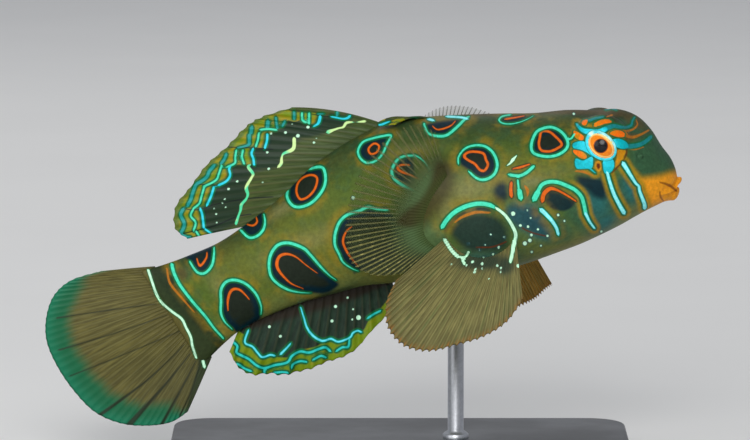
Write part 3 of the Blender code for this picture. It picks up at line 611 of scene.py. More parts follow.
ANAL_TEAL = (
    (0.11, ((232.8, 341.6), (237.4, 346.2), (236.8, 352.5), (242.6, 355.9), (249.4, 359.4),
     (256.3, 365.1), (264.4, 368), (274.7, 365.1), (287.3, 362.3), (291.9, 355.9), (300, 351.4),
     (309.1, 352.5), (318.3, 349.1), (325.2, 347.3), (329.8, 350.8))),
    (0.1, ((232.8, 363.4), (239.1, 364.6), (243.7, 368), (250.6, 370.9))),
    (0.1, ((264.4, 368.6), (264.4, 373.2))),
    (0.1, ((274.7, 372.6), (281.6, 372), (287.3, 372.6))),
    (0.1, ((291.9, 367.4), (293.1, 364), (300, 361.1), (305.7, 361.7))),
    (0.1, ((313.7, 359.4), (320.6, 355.9), (325.2, 357.1))),
    (0.1, ((336.7, 350.8), (342.4, 347.3), (348.2, 346.8), (349.3, 339.9))),
    (0.1, ((368, 318), (374, 314), (380, 311))),
)
ANAL_DOTS = dots(
    (0.15, (269.5, 326.7)), (0.15, (280.4, 336.2)), (0.16, (335.5, 306.4)), (0.16, (331.9, 320.9)),
    (0.24, (358.5, 317.5)), (0.12, (347.6, 297.4)), (0.1, (353.1, 309.1)), (0.1, (352.2, 319.4)),
)
ANAL_MARGIN = (
    (243.7, 334.1), (245, 343.3), (252.9, 349), (260.9, 358.2), (270.1, 357.1), (279.3, 357.1),
    (288.5, 357.1), (294.2, 352.5), (304.5, 349.1), (314.9, 346.8), (325.2, 342.2), (335.5, 342.2),
    (347, 341), (353.9, 334.1), (363.1, 330.7), (368.8, 320.4), (376, 314), (400, 296), (400, 390),
    (220, 390), (222, 330),
)
TAIL_PALE = (
    ((0.09, 0.11, 0.11, 0.13, 0.12, 0.12, 0.07), ((148.3, 270.3), (151.9, 281.2), (156.2, 293.3),
     (162.2, 303), (171.9, 311.5), (181.6, 318.8), (185.9, 327.2), (190.7, 336.9), (192.5, 346.6),
     (196.2, 357.5))),
    (0.13, ((202.8, 360), (204.5, 366.6))),
)
TAIL_SLITS = (
    ((0.02, 0.07, 0.18), ((184, 345), (146, 381), (90, 422))),
    ((0.02, 0.1, 0.26), ((190, 354), (164, 386), (129, 425))),
    ((0.02, 0.08, 0.14), ((196, 361), (183, 386), (162, 424))),
    ((0.01, 0.05), ((156, 304), (110, 310), (56.8, 318))),
    ((0.01, 0.05), ((167, 315), (112, 334), (59, 350))),
    ((0.01, 0.03), ((182, 330), (120, 356), (70, 376))),
    ((0.02, 0.07), ((200, 364), (192, 390), (180, 415))),
)
TAIL_DARK = (
    (149, 268), (163, 262), (171, 264), (173, 273), (179, 286), (191, 302), (204, 317), (213, 329),
    (223, 339.5), (230, 345), (222, 354), (205, 388), (190, 416), (184, 416), (190, 390),
    (197, 366), (196.2, 357.5), (192.5, 346.6), (190.7, 336.9), (185.9, 327.2), (181.6, 318.8),
    (171.9, 311.5), (162.2, 303), (156.2, 293.3), (151.9, 281.2),
)
# Painted shade on the root of the right pectoral fin, where the fin curves away from the light.
PECTORAL_ROOT_SHADE = (
    (436, 163), (449, 166), (450, 186), (441, 202), (428, 217), (412, 227), (397, 223), (404, 212),
    (420, 200), (430, 184),
)
LOBE_SHADE = ((482, 262, 34, 11, 0), (505, 266, 12, 12, 60))


def paint(red, green, blue):
    """A colour, in sRGB from 0 to 255, as the shaders take it."""
    return tuple(((c / 255 + 0.055) / 1.055) ** 2.4 if c > 10 else c / 3295
                 for c in (red, green, blue))


def colour(name, text, value):
    return FloatVectorProperty(name=name, description=text, default=value, subtype="COLOR",
                               size=3, min=0.0, max=1.0)


class SkinSettings(bpy.types.PropertyGroup):
    rings: IntProperty(name="Rings", description="Rings of the skin from lips to tail",
                       default=370, min=60, max=400)
    points: IntProperty(name="Points", description="Points round each ring", default=230,
                        min=40, max=240)
    olive: colour("Olive", "Colour of the flank", paint(74, 96, 34))
    # Darker along the top: painted shade where the back turns away from the light.
    back: colour("Back", "Colour of the back", paint(48, 66, 36))
    ochre: colour("Ochre", "Colour round the marks and on the belly", paint(150, 122, 22))
    teal: colour("Teal", "Colour of the cheek and the snout", paint(48, 86, 60))
    navy: colour("Navy", "Colour inside the rings", paint(4, 34, 44))
    # Lighter along the belly: painted light on the underside, over the belly's own yellow green.
    belly: colour("Belly", "Colour along the belly", paint(108, 116, 64))
    centre: colour("Centre", "Colour in the middle of a ring", paint(28, 36, 26))
    turquoise: colour("Turquoise", "Colour of the rings", paint(70, 220, 178))
    cyan: colour("Cyan", "Colour of the lines on the head", paint(44, 210, 228))
    pale: colour("Pale", "Colour of the pale lines and dots", paint(200, 250, 215))
    edge: colour("Edge", "Dark green beside each line", paint(10, 98, 52))
    orange: colour("Orange", "Colour of the orange marks", paint(216, 98, 20))
    rust: colour("Rust", "Colour of the dull orange marks", paint(178, 108, 24))
    dull_teal: colour("Dull teal", "Colour of the dull teal marks", paint(22, 128, 128))
    light: colour("Light blue", "Middle of the stripes on the cheek", paint(146, 246, 244))
    # Also the colour of the painted shade on the crown and the painted shadow along the belly.
    stem: colour("Stem", "Dark end of the tail stem", paint(38, 50, 28))
    earth: colour("Earth", "Brown of the top of the head", paint(88, 70, 38))
    sand: colour("Sand", "Light olive of the shoulder and the flank", paint(140, 134, 82))
    sea: colour("Sea", "Blue green of the cheek", paint(30, 104, 108))
    blob: colour("Blobs", "Patches of blue green round the eye", paint(0, 176, 186))
    leaf: colour("Leaves", "Orange patches round the eye", paint(244, 112, 14))
    cheek: colour("Cheek ochre", "Ochre beside the stripes of the cheek", paint(196, 132, 16))
    disc: colour("Disc", "Dark disc on the fin's root", paint(26, 48, 42))
    flap: colour("Gill flap", "Dark teal of the gill flap", paint(36, 74, 80))
    # Also the colour of the painted shade in crease lines and round the mouth.
    maroon: colour("Maroon", "Dark red brown lines of the face", paint(96, 40, 8))
    rim: colour("Eye rim", "Rim of the skin round the eye", paint(70, 218, 232))
    cream: colour("Cream", "Pale part of the eye's rim", paint(240, 250, 226))
    inner_lid: colour("Inner lid", "Skin inside the eye's rim", paint(226, 150, 70))
    lips: colour("Lips", "Colour of the lips", paint(226, 148, 28))


class FinSettings(bpy.types.PropertyGroup):
    membrane: FloatProperty(name="Membrane", description="Thickness of the fin skin",
                            default=0.12 * MM, unit="LENGTH")
    ridge: FloatProperty(name="Rays", description="Height of a ray over the fin skin",
                         default=0.09 * MM, unit="LENGTH")
    rows: IntProperty(name="Rows", description="Steps along a ray", default=56, min=12, max=90)
    olive: colour("Olive", "Colour of the fin skin", paint(70, 84, 38))
    tan: colour("Tan", "Colour of the tail fin", paint(94, 88, 44))
    # Painted shade on the root of the pectoral fins.
    root_shade_tint: colour("Root brown", "Dark root of the pectoral fins", paint(60, 52, 24))
    green_root: colour("Root green", "Fleshy root of the pectoral fins", paint(82, 106, 66))
    ray: colour("Rays", "Colour of the rays", paint(146, 142, 90))
    khaki: colour("Khaki", "Colour of the pelvic fins", paint(118, 112, 66))
    brown: colour("Brown", "Colour of the far pelvic fin", paint(166, 128, 54))
    dark: colour("Dark", "Colour of the dark zones", paint(20, 44, 32))
    mustard: colour("Mustard", "Yellow green of the bands along the margin", paint(112, 136, 10))
    gold: colour("Gold", "Brown yellow of the bands along the margin", paint(158, 136, 24))
    teal: colour("Teal", "Teal lines of the back fins", paint(28, 148, 142))
    emerald: colour("Emerald", "Margin of the tail fin", paint(14, 94, 60))
    rim: colour("Rim", "Very edge of the tail fin", paint(24, 150, 118))
    low_tan: colour("Low tan", "Lower rays of the tail fin", paint(62, 64, 36))
    slit: colour("Slits", "Gaps between rays of the tail fin", paint(30, 36, 22))
    shaded: colour("Shaded", "Back fins by the body", paint(50, 70, 34))
    margin: colour("Margin", "Edge of the back fins", paint(76, 100, 44))
    seam: colour("Seams", "Dark seams of the back fins", (0.006, 0.01, 0.01))
    lime: colour("Lime", "Pale lines of the back fins", paint(206, 240, 160))
    mint: colour("Mint", "Green stretches of those lines", paint(84, 222, 160))
    anal: colour("Anal fin", "Colour of the anal fin", paint(32, 52, 38))
    # Painted shadow along the root of the anal fin, where it meets the belly.
    anal_root_shadow: colour("Anal root", "Root of the anal fin", paint(34, 24, 12))
    anal_teal: colour("Anal teal", "Teal lines of the anal fin", paint(40, 200, 190))
    buff: colour("Buff", "Lower rays of the pectoral fins", paint(118, 116, 66))
    cream: colour("Cream", "Light streaks on those rays", paint(200, 186, 116))
    gap: colour("Gaps", "Skin between those rays", paint(46, 56, 38))
    moss: colour("Moss", "Green streaks of the pelvic fins", paint(84, 100, 56))
    amber: colour("Amber", "Tips of the pelvic fins", paint(150, 92, 24))
    shade: colour("Shade", "Dark upper part of the pelvic fins", paint(36, 56, 46))


class EyeSettings(bpy.types.PropertyGroup):
    radius: FloatProperty(name="Radius", description="Radius of the eyeball",
                          default=EYE_RADIUS * MM, unit="LENGTH")
    pupil: FloatProperty(name="Pupil", description="Radius of the pupil", default=0.68 * MM,
                         unit="LENGTH")
    iris: colour("Iris", "Orange of the iris", paint(246, 138, 14))
    grain: colour("Grain", "Darker grain of the iris", paint(214, 84, 10))
    rim: colour("Rim", "Cream edge of the iris", paint(255, 226, 140))
    ring: colour("Ring", "Brown ring round the pupil", paint(110, 34, 8))
    black: colour("Black", "Colour of the pupil", (0.003, 0.002, 0.004))


class StandSettings(bpy.types.PropertyGroup):
    size: FloatVectorProperty(name="Base", description="Length, width and height of the base",
                              default=(46.0 * MM, 26.0 * MM, 3.0 * MM), size=3, unit="LENGTH")
    corner: FloatProperty(name="Corner", description="Radius of the base's corners",
                          default=4.0 * MM, unit="LENGTH")
    edge: FloatProperty(name="Edge", description="Rounding of the base's top edge",
                        default=0.4 * MM, unit="LENGTH")
    rod: FloatProperty(name="Rod", description="Radius of the rod", default=0.8 * MM,
                       unit="LENGTH")
    collar: FloatProperty(name="Collar", description="Radius of the collar round the rod",
                          default=1.3 * MM, unit="LENGTH")
    paint: colour("Paint", "Colour of the base", paint(52, 54, 56))
    steel: colour("Steel", "Colour of the rod", paint(176, 178, 182))


class StageSettings(bpy.types.PropertyGroup):
    distance: FloatProperty(name="Distance", description="Camera to the middle of the fish",
                            default=CAMERA_DISTANCE * MM, unit="LENGTH")
    elevation: FloatProperty(name="Elevation", description="Camera above the horizon",
                             default=CAMERA_TILT, subtype="ANGLE")
    lens: FloatProperty(name="Lens", description="Focal length", default=LENS, unit="CAMERA")
    key: FloatProperty(name="Key light", description="Power of the main light", default=1.6,
                       unit="POWER")
    floor_radius: FloatProperty(name="Floor radius", description="Reach of the floor",
                                default=6.0, unit="LENGTH")
    floor: colour("Floor", "Colour of the floor", (0.84, 0.83, 0.8))
    sky: colour("Sky", "Colour of the light from all round", (0.9, 0.93, 1.0))
    sky_strength: FloatProperty(name="Sky strength", description="Light from all round",
                                default=0.45, min=0.0)


def blend(values, place):
    """A smooth curve through rows of values, read at places counted in rows."""
    values = np.asarray(values, float)
    last = len(values) - 1
    row = np.minimum(np.clip(place, 0, last).astype(int), last - 1)
    t = (np.clip(place, 0, last) - row)[:, None]
    a, b = values[np.maximum(row - 1, 0)], values[row]
    c, d = values[row + 1], values[np.minimum(row + 2, last)]
    return b + 0.5 * t * (c - a + t * (2 * a - 5 * b + 4 * c - d + t * (3 * (b - c) + d - a)))


def sway(x):
    """How far the body's middle is swung to the far side at x."""
    return SWAY * (np.maximum(SWAY_FROM_X - x, 0.0) / SWAY_LENGTH) ** 2


def body_points(places, angles):
    """Points of the body, one row for each place and one column for each angle."""
    x1, z1, x2, z2, half = (column[:, None] for column in blend(STATIONS, places).T)
    down = ((1 - np.cos(angles)) / 2) ** WIDEST_SKEW
    power = np.where(np.cos(angles) > 0, BACK_ROUNDNESS, BELLY_ROUNDNESS)
    side = np.sign(np.sin(angles)) * np.abs(np.sin(angles)) ** power
    x, z = x1 + (x2 - x1) * down, z1 + (z2 - z1) * down
    return np.stack((x, sway(x) + side * half, z), axis=-1)


def even_places(count):
    """Places along the body whose rings lie evenly from snout to tail."""
    fine = np.linspace(0, len(STATIONS) - 1, 2000)
    rows = blend(STATIONS, fine)
    middle = np.stack((rows[:, 0] + rows[:, 2], rows[:, 1] + rows[:, 3], rows[:, 4] * 2), 1) / 2
    steps = np.linalg.norm(np.diff(middle, axis=0), axis=1)
    steps = steps * (1 + HEAD_DENSITY * (fine[1:] < HEAD_PLACE))
    run = np.concatenate(((0.0,), np.cumsum(steps)))
    return np.interp(np.linspace(0, run[-1], count), run, fine)


def mouth_points(ring, angles):
    """Rings from inside the mouth out over the lips to the first ring of the snout."""
    sine, cosine = np.sin(angles), np.cos(angles)
    slit = np.stack((SLIT_X - CORNER_BACK * sine ** 2, SLIT_HALF_WIDTH * sine,
                     SLIT_Z + SLIT_HALF_HEIGHT * cosine - CORNER_DROP * sine ** 2), -1)
    back = np.array((SLIT_X - MOUTH_DEPTH, 0.0, SLIT_Z - MOUTH_SINK))
    rows = [back + (slit - back) * t for t in np.linspace(0.0, MOUTH_OPEN, MOUTH_RINGS // 4)]
    bulge = LIP_BULGE * (LIP_FULLNESS[0] + LIP_FULLNESS[1] * cosine ** 2)
    lift = np.where(cosine > 0, UPPER_LIP, LOWER_LIP)
    forward = np.stack((bulge, LIP_SPREAD * sine * bulge, lift * cosine * bulge), -1)
    for t in np.linspace(0.0, 1.0, MOUTH_RINGS)[:-1]:
        share = (1 - math.cos(math.pi * t)) / 2
        rolled = forward * math.sin(math.pi * t) ** LIP_ROUNDNESS
        rows.append(slit + (ring - slit) * share + rolled)
    return np.array(rows)


def tail_points(ring, angles):
    """Rings that close the tail stem inside the root of the tail fin."""
    middle = ring.mean(axis=0)
    rows = []
    for t in TAIL_STEPS:
        line = ring.copy()
        line[:, 1] = middle[1] + (ring[:, 1] - middle[1]) * math.sqrt(1 - t * t)
        line[:, 0] -= TAIL_REACH * t
        line[:, 2] -= TAIL_DROP * t
        rows.append(line)
    rows.append(np.tile(rows[-1].mean(axis=0), (len(angles), 1)))
    return np.array(rows)


def smooth(low, high, value):
    t = np.clip((value - low) / (high - low), 0.0, 1.0)
    return t * t * (3 - 2 * t)


def swell(points, centre, size):
    """Push points out to an ellipsoid that they lie inside, with a soft foot."""
    way = (points - centre) / size
    length = np.maximum(np.linalg.norm(way, axis=-1, keepdims=True), SWELL_CORE)
    pushed = (length ** SWELL_SHARPNESS + 1) ** (1 / SWELL_SHARPNESS)
    return np.where(length < SWELL_REACH, centre + way / length * pushed * size, points)


def on_side(place, side):
    return np.array((place[0], place[1] * side, place[2]), float)


def gaze(side):
    """The way an eye looks, from the place of its pupil in the frame."""
    centre = on_side(EYE, -1)
    origin, way = sight_line(*PUPIL_PLACE)
    offset = origin - centre
    middle = float(offset @ way)
    reach = middle * middle - float(offset @ offset) + EYE_RADIUS ** 2
    pupil = offset + way * (-middle - math.sqrt(reach))
    look = pupil / np.linalg.norm(pupil)
    return look * (1, -side, 1)


def opening_edge(points, side):
    """How far points lie outside the rim of the eye's opening, and from the eye's middle."""
    look = gaze(side)
    way = points - on_side(EYE, side)
    length = np.maximum(np.linalg.norm(way, axis=-1), 1e-6)
    along = np.cross((0.0, 0.0, 1.0), look)
    along *= np.sign(along[0]) / np.linalg.norm(along)
    up = np.array((0.0, 0.0, 1.0)) - look * look[2]
    up /= np.linalg.norm(up)
    tilt = math.radians(OPENING_TILT)
    across, rise = way @ along / length, way @ up / length
    flat = np.maximum(np.hypot(across, rise), 1e-6)
    long_way = (across * math.cos(tilt) - rise * math.sin(tilt)) / flat
    short_way = (across * math.sin(tilt) + rise * math.cos(tilt)) / flat
    radius = 1 / np.hypot(long_way / OPENING[0], short_way / OPENING[1])
    arc = EYE_RADIUS * np.arccos(np.clip(way @ look / length, -1.0, 1.0))
    return arc - radius, length


def roll(distance, height, place, width):
    """Height of a soft ridge that runs at a place of the distance."""
    return height * np.exp(-((distance - place) / width) ** 2)


def open_eye(points, side):
    """Sink the skin under the eyeball inside its opening, and fit the lids round the ball."""
    centre = on_side(EYE, side)
    edge, length = opening_edge(points, side)
    slope = smooth(0.0, LID_SLOPE, edge)
    lid = np.maximum(LID_REACH, LID_REACH + (length - LID_REACH) * slope)
    lid = lid + roll(edge, *LID_ROLL)
    sunk = np.minimum(length, SUNK_RADIUS)
    target = sunk + (lid - sunk) * smooth(SUNK_EDGE, 0.0, edge)
    scale = np.where(edge < LID_WIDTH, target / length, 1.0)[..., None]
    return centre + (points - centre) * scale


def grid_normals(points):
    """Outward normals of a closed grid of rings."""
    around = np.roll(points, -1, axis=1) - np.roll(points, 1, axis=1)
    along = np.gradient(points, axis=0)
    normal = np.cross(along, around)
    length = np.maximum(np.linalg.norm(normal, axis=-1, keepdims=True), 1e-9)
    return normal / length


def small_forms(points):
    """Height of the nostrils, gill pores and mouth line over the skin."""
    x, z = points[..., 0], points[..., 2]
    nostril = np.hypot(x - NOSTRIL[0], z - NOSTRIL[1])
    height = roll(nostril, *NOSTRIL_RIM) - roll(nostril, *NOSTRIL_PIT)
    dx, dz = x - GILL_PORE[0], z - GILL_PORE[1]
    along = (dx * PORE_TURN[0] + dz * PORE_TURN[1]) / PORE_SIZE[0]
    across = (dz * PORE_TURN[0] - dx * PORE_TURN[1]) / PORE_SIZE[1]
    height += PORE_RIM * np.exp(-along ** 2 - across ** 2)
    height -= PORE_PIT * np.exp(-along ** 2 - (across + PORE_PIT_DROP) ** 2)
    share = (x - MOUTH_LINE_X[0]) / (MOUTH_LINE_X[1] - MOUTH_LINE_X[0])
    off = z - MOUTH_LINE_Z[0] - share * (MOUTH_LINE_Z[1] - MOUTH_LINE_Z[0])
    line = roll(np.abs(off), *MOUTH_LINE_ROLLS) - roll(off, *MOUTH_LINE_GROOVE)
    return height + smooth(*MOUTH_LINE_FADE, x) * line


def skin_points(settings):
    """The finished skin as a grid of rings, and the angles of its points."""
    angles = np.linspace(0.0, 2 * math.pi, settings.points + 1)[:-1]
    places = even_places(settings.rings)
    body = body_points(places, angles)
    mouth = mouth_points(body[0], angles)
    points = np.concatenate((mouth, body[1:], tail_points(body[-1], angles)))
    for side in (-1, 1):
        points = swell(points, on_side(LOBE, side), LOBE_SIZE)
        points = swell(points, on_side(TURRET, side), TURRET_SIZE)
    normals = grid_normals(points)
    flank = np.abs(points[..., 1] - sway(points[..., 0])) > MIDDLE_STRIP
    fade = np.zeros(points.shape[:2])
    fade[len(mouth):-SMOOTH_TAIL_RINGS] = 1.0
    points = points + normals * (small_forms(points) * flank * fade)[..., None]
    for side in (-1, 1):
        points = open_eye(points, side)
    return points, angles


def camera_axes(stage=None):
    """Where the camera stands, and its forward, right and up directions."""
    tilt = stage.elevation if stage else CAMERA_TILT
    distance = stage.distance / MM if stage else CAMERA_DISTANCE
    forward = np.array((0.0, math.cos(tilt), -math.sin(tilt)))
    right = np.array((1.0, 0.0, 0.0))
    up = np.array((0.0, math.sin(tilt), math.cos(tilt)))
    return LOOK_AT - forward * distance, forward, right, up


def sight_line(x, y):
    """The camera's place, and the way it looks through a point of its frame."""
    place, forward, right, up = camera_axes()
    x, y = (x - FRAME_MIDDLE[0]) * FRAME_STEP, (FRAME_MIDDLE[1] - y) * FRAME_STEP
    way = forward + right * x + up * y
    return place, way / np.linalg.norm(way)


def in_frame(points):
    """Where the camera sees points, in the units of the marks."""
    place, forward, right, up = camera_axes()
    offset = points - place
    depth = offset @ forward
    return np.stack((FRAME_MIDDLE[0] + offset @ right / depth / FRAME_STEP,
                     FRAME_MIDDLE[1] - offset @ up / depth / FRAME_STEP), -1)


def surface_tree(points, closed):
    """A search tree of a grid of points, for lines of sight."""
    rows, columns = points.shape[:2]
    index = np.arange(rows * columns).reshape(rows, columns)
    after = np.roll(index, -1, axis=1) if closed else index[:, 1:]
    before = index if closed else index[:, :-1]
    faces = np.stack((before[:-1], after[:-1], after[1:], before[1:]), -1).reshape(-1, 4)
    return BVHTree.FromPolygons(points.reshape(-1, 3).tolist(), faces.tolist())


def smoothed(line, step):
    """Points a step apart on a smooth line, or all round it where its ends meet."""
    line = np.array(line, float)
    if len(line) < 2:
        return line
    whole, first, last = line, 0, len(line) - 1
    if np.allclose(line[0], line[-1]):
        whole, first, last = np.concatenate((line[-2:-1], line, line[1:2])), 1, len(line)
    length = np.linalg.norm(np.diff(line, axis=0), axis=1).sum()
    return blend(whole, np.linspace(first, last, max(int(length / step), 2)))


def traced(tree, line, width):
    """Points of a surface under a smooth line of the frame, with half widths there."""
    line = smoothed(line, LINE_STEP)
    given = np.atleast_1d(width)
    widths = np.interp(np.linspace(0, 1, len(line)), np.linspace(0, 1, len(given)), given)
    hits = []
    for (x, y), half in zip(line, widths):
        place, way = sight_line(x, y)
        found = tree.ray_cast(Vector(place), Vector(way))[0]
        if found is not None:
            hits.append((*found, half))
    return hits


def flattened(points):
    """Points with their depth from the camera drawn together, so that lines stay even."""
    forward = camera_axes()[1]
    return points - (1 - DEPTH_SHARE) * (points @ forward)[..., None] * forward


def mark_fields(name, points, tree, marks, folded):
    """Where points lie by the nearest mark: millimetres from its edge, below 0 on it, and
    from its middle, below 0 on one side, and its half width there.

    Folded marks are those of both sides of the body.
    """
    shape = points.shape[:-1]
    hits, tangents = [], []
    for width, line in marks:
        found = np.array(traced(tree, line, width))
        if len(found):
            places = flattened(near_side(found[:, :3]) if folded else found[:, :3])
            hits.append(np.column_stack((places, found[:, 3])))
            tangents.append(np.gradient(places, axis=0) if len(places) > 1 else places * 0)
    if not hits:
        return {name: np.full(shape, FIELD_LIMIT),
                name + "_side": np.full(shape, FIELD_LIMIT), name + "_half": np.zeros(shape)}
    hits, tangents = np.concatenate(hits), np.concatenate(tangents)
    search = kdtree.KDTree(len(hits))
    for i, place in enumerate(hits[:, :3].tolist()):
        search.insert(place, i)
    search.balance()
    asked = flattened(near_side(points) if folded else points).reshape(-1, 3)
    found = [search.find(p) for p in asked.tolist()]
    away = np.array([distance for _, _, distance in found])
    index = np.array([i for _, i, _ in found])
    across = np.cross(camera_axes()[1], tangents[index])
    side = np.where(np.sum((asked - hits[index, :3]) * across, axis=1) < 0, -1.0, 1.0)
    half = hits[index, 3]
    return {name: np.minimum(away - half, FIELD_LIMIT).reshape(shape),
            name + "_side": (np.minimum(away, FIELD_LIMIT) * side).reshape(shape),
            name + "_half": half.reshape(shape)}


def inside(places, polygon):
    """Whether places of the frame lie inside a polygon."""
    x, y = places[..., 0], places[..., 1]
    within = np.zeros(x.shape, bool)
    for (x1, y1), (x2, y2) in zip(polygon, polygon[1:] + polygon[:1]):
        crosses = (y1 > y) != (y2 > y)
        at = x1 + (y - y1) / ((y2 - y1) or 1e-9) * (x2 - x1)
        within ^= crosses & (x < at)
    return within


def region(places, outline):
    """Millimetres from places of the frame to a smooth outline, below 0 inside it."""
    reach = FIELD_LIMIT * FRAME_PER_MM
    corners = smoothed((*outline, outline[0]), OUTLINE_STEP)
    low, high = corners.min(axis=0) - reach, corners.max(axis=0) + reach
    close = np.all((places > low) & (places < high), axis=-1)
    near = places[close]
    best = np.full(len(near), reach)
    for first, second in zip(corners, np.roll(corners, -1, axis=0)):
        edge = second - first
        share = np.clip((near - first) @ edge / max(float(edge @ edge), 1e-9), 0.0, 1.0)
        best = np.minimum(best, np.linalg.norm(near - first - share[:, None] * edge, axis=-1))
    within = inside(near, [tuple(corner) for corner in corners])
    result = np.full(places.shape[:-1], FIELD_LIMIT)
    result[close] = np.where(within, -best, best) / FRAME_PER_MM
    return result


def patches(places, outlines):
    """Millimetres to the nearest of several outlines, below 0 inside one."""
    return np.min([region(places, outline) for outline in outlines], axis=0)


def blotches(places, table):
    """A soft field, 1 in the middle of the blotches and 0 away from them."""
    total = np.zeros(places.shape[:-1])
    for x, y, long, high, turn in table:
        bearing = math.radians(turn)
        dx, dy = places[..., 0] - x, places[..., 1] - y
        u = (dx * math.cos(bearing) + dy * math.sin(bearing)) / long
        v = (dy * math.cos(bearing) - dx * math.sin(bearing)) / high
        total = np.maximum(total, np.exp(-(u * u + v * v)))
    return total


def near_side(points):
    """Points of the far side moved to their mirrored place on the near side."""
    middle = sway(points[..., 0])
    folded = points.copy()
    folded[..., 1] = middle - np.abs(points[..., 1] - middle)
    return folded


def skin_fields(points, angles):
    """Every field that the skin's colours are made from."""
    tree = surface_tree(points, True)
    fields = {}
    for name, marks in (("turquoise", TURQUOISE), ("cyan", CYAN), ("pale", PALE),
                        ("orange", ORANGE), ("light", LIGHT), ("teal_lines", DULL_TEAL),
                        ("rust", RUST), ("creases", CREASE_SHADOWS), ("folds", MOUTH_FOLD_SHADOWS),
                        ("dots", DOTS)):
        fields.update(mark_fields(name, points, tree, marks, True))
    places = in_frame(near_side(points))
    fields["fill"] = patches(places, FILLED_RINGS + RING_RESTS)
    for name, table in (("navy", NAVY_BLOTCHES), ("teal", TEAL_BLOTCHES),
                        ("ochre", OCHRE_BLOTCHES), ("cream", CREAM_BLOTCHES),
                        # The brown field holds painted shade on the crown and a painted shadow
                        # along the belly.
                        ("sea", SEA_BLOTCHES), ("brown", BROWN_AND_SHADE_BLOTCHES),
                        ("earth", EARTH_BLOTCHES), ("sand", SAND_BLOTCHES)):
        fields[name] = blotches(places, table)
    for name, outlines in (("mouth", (MOUTH_PATCH,)), ("stem", (TAIL_DARK,)),
                           ("tail", (TAIL_SIDE,)), ("disc", (LOBE_DISC,)),
                           ("flap", (GILL_FLAP,)), ("dark", (FACE_DARK, ARCH_SHADE)),
                           ("soft_dark", (CHEEK_NAVY, GILL_DARK)), ("blobs", EYE_BLOBS),
                           ("leaves", EYE_LEAVES), ("cheek", EYE_OCHRE), ("oval", EYE_BROWN),
                           ("fin_green", (PECTORAL_GREEN,)),
                           # The painted shade of the pectoral fin's root, laid on the skin behind
                           # it too.
                           ("fin_brown", (PECTORAL_ROOT_SHADE,))):
        fields[name] = patches(places, outlines)
    fields["lid"] = np.clip(opening_edge(near_side(points), -1)[0], -1.0, FIELD_LIMIT)
    fields["head"] = smooth(*HEAD_FADE_X, points[..., 0])
    fields["down"] = np.tile((1 - np.cos(angles)) / 2, (len(points), 1))
    return fields


def place_grid(edit, points, fields):
    """Add a grid with its points at an array of places, and its fields."""
    rows, columns = points.shape[:2]
    layers = edit.verts.layers.float
    for name in fields:
        if layers.get(name) is None:
            layers.new(name)
    made = bmesh.ops.create_grid(edit, x_segments=columns - 1, y_segments=rows - 1, size=1.0)
    verts = made["verts"]
    flat = np.array([v.co[:2] for v in verts])
    low, high = flat.min(axis=0), flat.max(axis=0)
    share = (flat - low) / (high - low)
    column = np.rint(share[:, 0] * (columns - 1)).astype(int)
    row = np.rint(share[:, 1] * (rows - 1)).astype(int)
    world = (points[row, column] - (DATUM_X, 0.0, 0.0)) * MM
    for vert, place in zip(verts, world.tolist()):
        vert.co = place
    for name, values in fields.items():
        layer = layers[name]
        for vert, value in zip(verts, values[row, column].tolist()):
            vert[layer] = value


def finished(name, edit, material, nodes):
    """Turn an edit into a piece that rides on the fish and stands for its nodes."""
    bmesh.ops.remove_doubles(edit, verts=edit.verts, dist=1e-7)
    bmesh.ops.recalc_face_normals(edit, faces=edit.faces)
    mesh = bpy.data.meshes.new(name)
    edit.to_mesh(mesh)
    edit.free()
    mesh.polygons.foreach_set("use_smooth", [True] * len(mesh.polygons))
    mesh.materials.append(material)
    piece = bpy.data.objects.new(name, mesh)
    bpy.context.scene.collection.objects.link(piece)
    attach(piece, "root")
    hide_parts(*nodes)


def node(tree, kind, sockets, **settings):
    """Add a node with settings, and with values or links for its sockets."""
    made = tree.nodes.new(kind)
    for name, value in settings.items():
        setattr(made, name, value)
    for name, value in sockets.items():
        socket = made.inputs[name]
        if isinstance(value, bpy.types.NodeSocket):
            tree.links.new(value, socket)
        elif socket.type == "RGBA":
            socket.default_value = (*value, 1.0)
        else:
            socket.default_value = value
    return made


def field(tree, name):
    return node(tree, "ShaderNodeAttribute", {}, attribute_name=name).outputs["Fac"]


def mark(tree, name):
    """Millimetres from the edge of a mark, even where it is finer than the mesh."""
    middle = maths(tree, "ABSOLUTE", field(tree, name + "_side"))
    across = maths(tree, "SUBTRACT", middle, field(tree, name + "_half"))
    along = maths(tree, "SUBTRACT", field(tree, name), MARK_BLUR)
    return maths(tree, "MAXIMUM", across, along)


def span(tree, value, low, high, to_low=0.0, to_high=1.0):
    sockets = {"Value": value, "From Min": low, "From Max": high, "To Min": to_low,
               "To Max": to_high}
    return node(tree, "ShaderNodeMapRange", sockets, interpolation_type="SMOOTHSTEP").outputs[0]


def maths(tree, operation, a, b=0.0):
    return node(tree, "ShaderNodeMath", {0: a, 1: b}, operation=operation).outputs[0]


def times(tree, a, b):
    return maths(tree, "MULTIPLY", a, b)


def lowest(tree, *values):
    """The least of several values."""
    least = values[0]
    for value in values[1:]:
        least = maths(tree, "MINIMUM", least, value)
    return least


def mix(tree, share, under, over, way="MIX"):
    """A colour laid over another by a share."""
    sockets = {0: share, 6: under, 7: over}
    return node(tree, "ShaderNodeMix", sockets, data_type="RGBA", blend_type=way).outputs[2]


def coats(tree, base, *rows):
    """Colours laid over a base in turn. Each row has a value or a field's name, where the
    coat begins and where it is full on that value, its share when full, and its colour."""
    for value, begin, full, share, tint in rows:
        if isinstance(value, str):
            value = field(tree, value)
        base = mix(tree, span(tree, value, begin, full, 0.0, share), base, tint)
    return base


def drawn(tree, base, **tints):
    """Marks laid over a base in turn, with crisp edges."""
    rows = [(mark(tree, name), 0.04, -0.04, 1.0, tint) for name, tint in tints.items()]
    return coats(tree, base, *rows)


